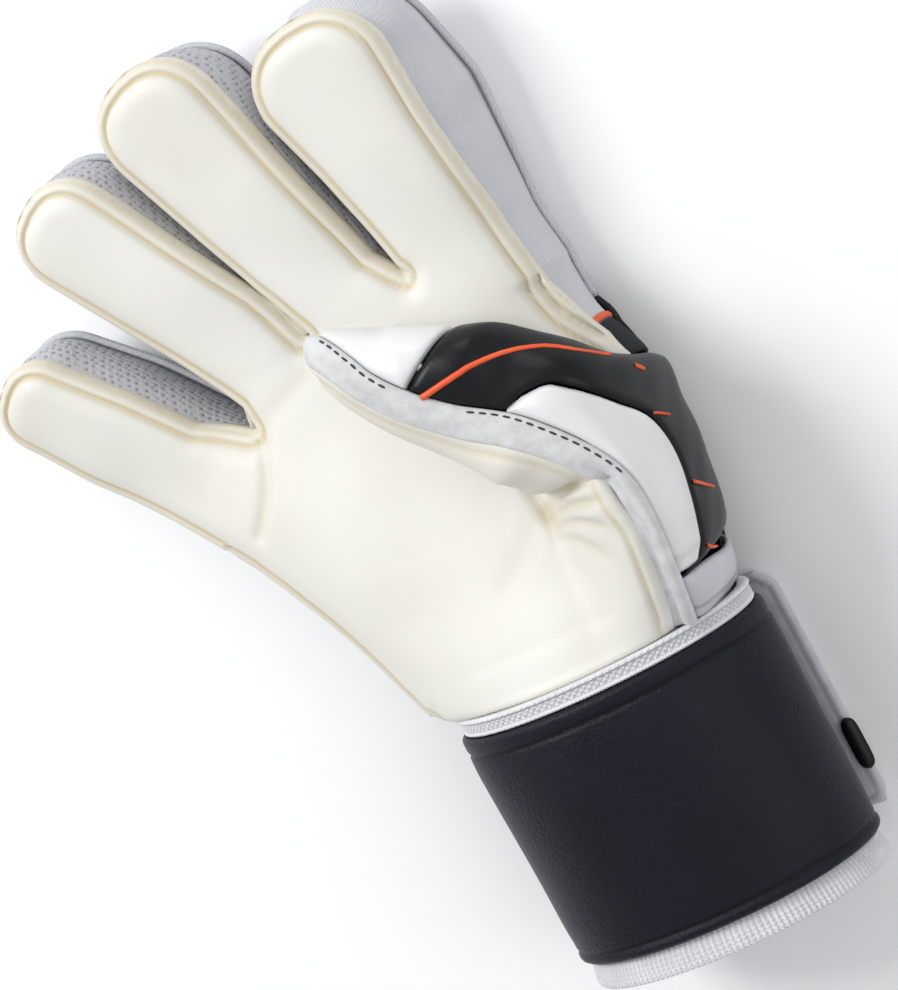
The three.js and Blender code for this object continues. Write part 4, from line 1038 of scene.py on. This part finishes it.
# Orange lines on the black panel, as row numbers and shares of the thumb's back, with half widths
orangeLines = [
    ([(8.62, 0.0), (8.28, 0.107), (7.93, 0.186), (7.57, 0.235), (7.24, 0.285), (6.9, 0.345), (6.4, 0.43), (5.92, 0.56)],
     0.85, 0.4),
    ([(5.3, 0.555), (5.1, 0.562)], 0.6, 0.5),
    ([(4.38, 0.385), (4.27, 0.44), (4.15, 0.5)], 0.35, 0.25),
    ([(2.93, 0.41), (2.7, 0.54), (2.51, 0.66)], 0.5, 0.35),
    ([(1.78, 0.31), (1.68, 0.36), (1.63, 0.41)], 0.5, 0.35),
]


# The lines as ribbons on the thumb's back, and the piping on the index strip
def buildOrange():
    parts = []
    for line, wide, narrow in orangeLines:
        control = resample(line, 60 if len(line) > 4 else 16)
        step = 0.01
        path = thumbPoint(control[:, 0], control[:, 1], False)
        ahead = thumbPoint(control[:, 0] + step, control[:, 1], False) - path
        side = thumbPoint(control[:, 0], control[:, 1] + step, False) - path
        normal = unit(-np.cross(ahead, side))
        half = mix(wide, narrow, np.linspace(0, 1, len(path)) ** 1.5)
        parts.append(ribbonPart(ribbon(path, normal, half, 0.55, 0.78)))
    grid = stripGrids["index_outer"]
    row = int(np.argmin(np.abs(grid[:, 5, 1] - strip["pipingY"])))
    line = resample(grid[row, 2:-1], 24)
    outward = unit(np.cross(grid[row, 8] - grid[row, 2], grid[row + 2, 5] - grid[row - 2, 5]))
    parts.append(ribbonPart(ribbon(line, np.repeat(outward[None], 24, 0), 1.0, 0.6, 0.1)))
    return makePiece("orange_lines", parts, orangeLine, merge=0.002, recalc=True)


for piece in (buildStitches(), buildOrange()):
    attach(piece, "root")
print("binding", round(time.time() - started, 1))


# Flat ovals round the wrist. A profile is a list of (y, inset) round the wall, carried round the oval.
# x = (wide - inset) cos, z = centre + (high - inset) sin
def ovalGrid(profile, wide, high, sides):
    turn = np.linspace(0, 2 * np.pi, sides, endpoint=False)[None, :]
    y, inset = profile[:, :1], profile[:, 1:2]
    return np.stack([(wide - inset) * np.cos(turn), y + 0 * turn, cuffCentre + (high - inset) * np.sin(turn)], -1), turn


# Outward normals of the oval, from (x / wide squared, z / high squared)
def ovalNormals(grid, wide=46, high=31):
    flat = grid - np.array([0, 0, cuffCentre])
    return unit(np.stack([flat[..., 0] / wide ** 2, 0 * flat[..., 1], flat[..., 2] / high ** 2], -1))


# The first row again at the end
def closedRows(grid):
    return np.concatenate([grid, grid[:1]])


strap = dict(wide=46.7, high=31.2, low=8.0, top=78.0, thickness=2.8, hemTop=73.0, hemLow=11.4, puff=0.35)


# The strap: rounded edges, two pressed hems darkened with painted shade, a gentle puff and unevenness between them
def buildStrap(sizes=strap):
    w = np.linspace(0, 1, 96)
    y = mix(sizes["low"], sizes["top"], w)
    edge = np.minimum(y - sizes["low"], sizes["top"] - y)
    hem = np.maximum(bell(y - sizes["hemTop"], 0.55), bell(y - sizes["hemLow"], 0.55))
    rounding = 1.0 * (1 - np.clip(edge / 1.4, 0, 1)) ** 2
    outer = np.stack([y, 0.5 + rounding + 0.75 * hem - sizes["puff"] * smooth(3, 12, edge)], 1)
    inner = np.stack([y[::-1][::6], np.full(16, sizes["thickness"])], 1)
    profile = np.concatenate([outer, inner])
    grid = ovalGrid(profile, sizes["wide"], sizes["high"], 288)[0]
    mask = np.concatenate([smooth(0, 6, edge), np.zeros(16)])[:, None]
    grid = grid + ovalNormals(grid) * ((wander(grid, 46, 0.55, 31) - 0.25) * mask)[..., None]
    # Painted shade in the pressed hems
    tone = np.concatenate([hem, np.zeros(16)])[:, None]
    part = gridPart(closedRows(grid), closedRows(tone), closed=True)
    return makePiece("wrist_strap_padded", [part], strapCoat, recalc=True)


knitSizes = dict(ribs=160, depth=0.22, wall=1.9)


# The knit tube: ribs by sin(ribs * turn), loops by a sine along the tube, in a wall of even thickness; painted shade in
# the rib valleys and under the strap's lower edge
def buildCuff(sizes=knitSizes):
    rows = np.array([[0, 45, 29.2], [4, 44.4, 28.8], [7.5, 43.2, 27.7], [76, 43.2, 27.7], [78.2, 40.6, 24.2],
                     [81.8, 36.5, 17.8], [87, 36, 17]])
    y = np.concatenate([np.linspace(0, 9, 34), [14, 22, 34, 46, 58, 70, 75, 76.5, 77.4, 78.2, 79.4, 80.6],
                        [81.8, 83, 85, 87]])
    wide, high = np.interp(y, rows[:, 0], rows[:, 1]), np.interp(y, rows[:, 0], rows[:, 2])
    turn = np.linspace(0, 2 * np.pi, sizes["ribs"] * 6, endpoint=False)[None, :]
    loops = []
    for thick, order in ((0.0, slice(None)), (sizes["wall"], slice(None, None, -1))):
        a, b, line = (wide - thick)[order, None], (high - thick)[order, None], y[order, None]
        rounding = 0.7 * (1 - np.clip(line / 0.9, 0, 1)) ** 2 * (1 if thick == 0 else -1)
        rib = sizes["depth"] * np.sin(sizes["ribs"] * turn) * (1 if thick == 0 else -0.6)
        loop = 0.14 * np.sin(2 * np.pi * line / 1.25 + 1.5 * np.sin(sizes["ribs"] * turn)) * (line < 9.1)
        swell = rib + loop - rounding
        loops.append(np.stack([(a + swell) * np.cos(turn), line + 0 * turn, cuffCentre + (b + swell) * np.sin(turn)],
                              -1))
    grid = closedRows(np.concatenate(loops))
    # Painted shade in the rib valleys
    tone = 0.45 * (0.5 - 0.5 * np.sin(sizes["ribs"] * turn)) ** 2 + 0 * grid[..., 0]
    # Painted shade in the crevice under the strap's lower edge
    tone = tone + 0.5 * bell(grid[..., 1] - 7.6, 0.5)
    return makePiece("knitted_cuff", [gridPart(grid, tone, closed=True)], knit, recalc=True)


# The band at the wrist: a light lower edge, twisted threads, and a cord beside the foam
bandSizes = dict(wide=44.2, high=28.5, twists=120)


# The band: crossed threads by the product of two slanted sines, and a twisted cord on top; painted shade between the
# threads and under the cord
def buildBand(sizes=bandSizes):
    y = np.concatenate([np.linspace(78.3, 79.3, 5), np.linspace(79.45, 81.9, 13), np.linspace(82.0, 83.3, 9)])
    light = bell(y - 78.8, 0.5) * 0.5
    cord = np.sqrt(np.maximum(1 - ((y - 82.65) / 0.68) ** 2, 0)) * 0.85
    outer = np.stack([y, -(light + cord)], 1)
    inner = np.stack([y[::-1][::5], np.full(len(y[::5]), 2.3)], 1)
    profile = np.concatenate([outer, inner])
    grid, turn = ovalGrid(profile, sizes["wide"], sizes["high"], sizes["twists"] * 8)
    middle = np.concatenate([smooth(79.3, 79.7, y) * smooth(82.0, 81.6, y), np.zeros(len(inner))])[:, None]
    phase = sizes["twists"] * turn / 2
    cross = np.sin(phase + (profile[:, :1] - 80.7) * 1.9) * np.sin(phase - (profile[:, :1] - 80.7) * 1.9)
    cordTwist = 0.12 * np.sin(sizes["twists"] * turn + profile[:, :1] * 4)
    cordTwist = cordTwist * np.concatenate([cord, 0 * inner[:, 1]])[:, None]
    grid = grid + ovalNormals(grid) * (0.42 * np.abs(cross) * middle + cordTwist)[..., None]
    # Painted shade in the hollows between the crossed threads
    tone = 0.9 * middle * (1 - np.abs(cross)) ** 2
    # Painted shade in the crevice along the cord's lower edge
    tone = tone + np.concatenate([bell(y - 82.0, 0.2), 0 * inner[:, 0]])[:, None] * 0.8
    part = gridPart(closedRows(grid), closedRows(tone), closed=True)
    return makePiece("wrist_band", [part], knit, recalc=True)


dress(buildStrap(), "strap", 0.5, "wrist_strap")
dress(buildCuff(), "knit", 0.5, "cuff_knit")
dress(buildBand(), "knit", 0.5, "wrist_binding")
print("wrist", round(time.time() - started, 1))


# The closure's tongue under the strap, and its small tab
tongue = dict(low=7.0, high=80.0, inner=20.0, outer=43.5, thickness=2.4)


# The tongue: a flat pad with a sewn line beside its border and rounded rims
def buildTongue(sizes=tongue):
    t = np.linspace(0, 1, 90)[:, None]
    s = np.linspace(0, 1, 22)[None, :]
    corner = smooth(0.9, 1, t)
    edge = sizes["outer"] - 4.5 * corner ** 2 - 1.5 * smooth(0.06, 0, t)
    x, y = mix(sizes["inner"], edge, s), mix(sizes["low"], sizes["high"], t) + 0 * s
    z = 2 * smooth(30, sizes["outer"], x)
    bottom = np.stack([x, y, z], -1)
    d = distanceTo(border(bottom), bottom)
    z = z + edgeBend(d, 0.7, 1.2)
    top = np.stack([x, y, z + sizes["thickness"] - 2 * edgeBend(d, 0.7, 1.2) - 0.35 * bell(d - 2.4, 0.45)], -1)
    bottom = np.stack([x, y, z], -1)
    tone = 0.6 * bell(d - 2.4, 0.45)
    parts = [gridPart(top, tone), gridPart(bottom, tone, flip=True)]
    for pick in ((slice(None), 0), (slice(None), -1), (0, slice(None)), (-1, slice(None))):
        parts.append(gridPart(np.stack([bottom[pick], top[pick]])))
    return makePiece("closure_tongue", parts, tailCloth, recalc=True)


tab = dict(x=43.0, low=17.4, high=33.0, z=5.2, half=2.3, height=0.8, tilt=(0.25, 0, 0.97), rows=24)


# The tab: a domed ribbon with rounded ends
def buildTab(sizes=tab):
    w = np.linspace(0, 1, sizes["rows"])
    path = np.stack([sizes["x"] + 0 * w, mix(sizes["low"], sizes["high"], w), sizes["z"] + 0 * w], 1)
    ends = np.sqrt(np.maximum(1 - (2 * w - 1) ** 6, 0.02))
    normals = np.repeat([sizes["tilt"]], sizes["rows"], 0)
    loops = ribbon(path, normals, sizes["half"] * ends, sizes["height"] * ends)
    return makePiece("closure_tab", [ribbonPart(loops)], blackCoat, recalc=True)


dress(buildTongue(), "cloth", 0.4, "strap_tail")
dress(buildTab(), "tab", 0.4, "pull_tab")


# Camera, floor and light
# A place and a turn: the local z axis points from the aim back to the eye
def lookAt(eye, aim, up):
    backward = unit(eye - aim)
    right = unit(np.cross(up, backward))
    rows = np.stack([right, np.cross(backward, right), backward], 1).tolist()
    matrix = Matrix([[*row, 0] for row in rows] + [[0, 0, 0, 1]])
    matrix.translation = eye.tolist()
    return matrix


# A camera at eye that looks at aim, both in the glove's frame
def placeCamera(eye, aim, up, lens):
    camera = bpy.data.objects.new("camera", bpy.data.cameras.new("camera"))
    camera.data.lens = lens
    camera.data.sensor_width = 36
    camera.data.clip_start = 0.05
    camera.data.clip_end = 20
    eye, aim = ((np.array(v) + shift) / 1000 for v in (eye, aim))
    camera.matrix_world = lookAt(eye, aim, up)
    bpy.context.scene.collection.objects.link(camera)
    bpy.context.scene.camera = camera


# A soft square light that faces the glove, in metres
def placeLight(name, position, size, power, aim=(0, 0, 0.03)):
    light = bpy.data.objects.new(name, bpy.data.lights.new(name, "AREA"))
    light.data.size = size
    light.data.energy = power
    light.matrix_world = lookAt(np.array(position, float), np.array(aim, float), (0.01, 1, 0))
    bpy.context.scene.collection.objects.link(light)


roll = math.radians(29.5)
placeCamera((350.6, 257.9, 940.9), (-21.25, 136.77, 20.58), (math.sin(roll), math.cos(roll), 0), 134.68)
placeLight("key", (-0.65, 0.75, 0.95), 0.6, 12)
placeLight("fill", (0.9, -0.2, 0.9), 0.9, 3)
placeLight("rim", (0.3, 1.1, 0.5), 0.5, 2, (0, 0.05, 0.03))

floorMaterial = bpy.data.materials.new("pale floor")
floorMaterial.use_nodes = True
floorMaterial.node_tree.nodes["Principled BSDF"].inputs["Base Color"].default_value = (0.96, 0.96, 0.96, 1)
floorMaterial.node_tree.nodes["Principled BSDF"].inputs["Roughness"].default_value = 0.9
floorMesh = bpy.data.meshes.new("floor")
floorMesh.from_pydata([(-4, -4, 0), (4, -4, 0), (4, 4, 0), (-4, 4, 0)], [], [(0, 1, 2, 3)])
floorMesh.materials.append(floorMaterial)
floor = bpy.data.objects.new("floor", floorMesh)
bpy.context.scene.collection.objects.link(floor)

world = bpy.data.worlds.new("studio")
world.use_nodes = True
world.node_tree.nodes["Background"].inputs["Color"].default_value = (0.95, 0.97, 1.0, 1)
world.node_tree.nodes["Background"].inputs["Strength"].default_value = 0.55
bpy.context.scene.world = world
bpy.context.scene.view_settings.view_transform = "Standard"

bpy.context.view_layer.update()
print("scene", round(time.time() - started, 1))
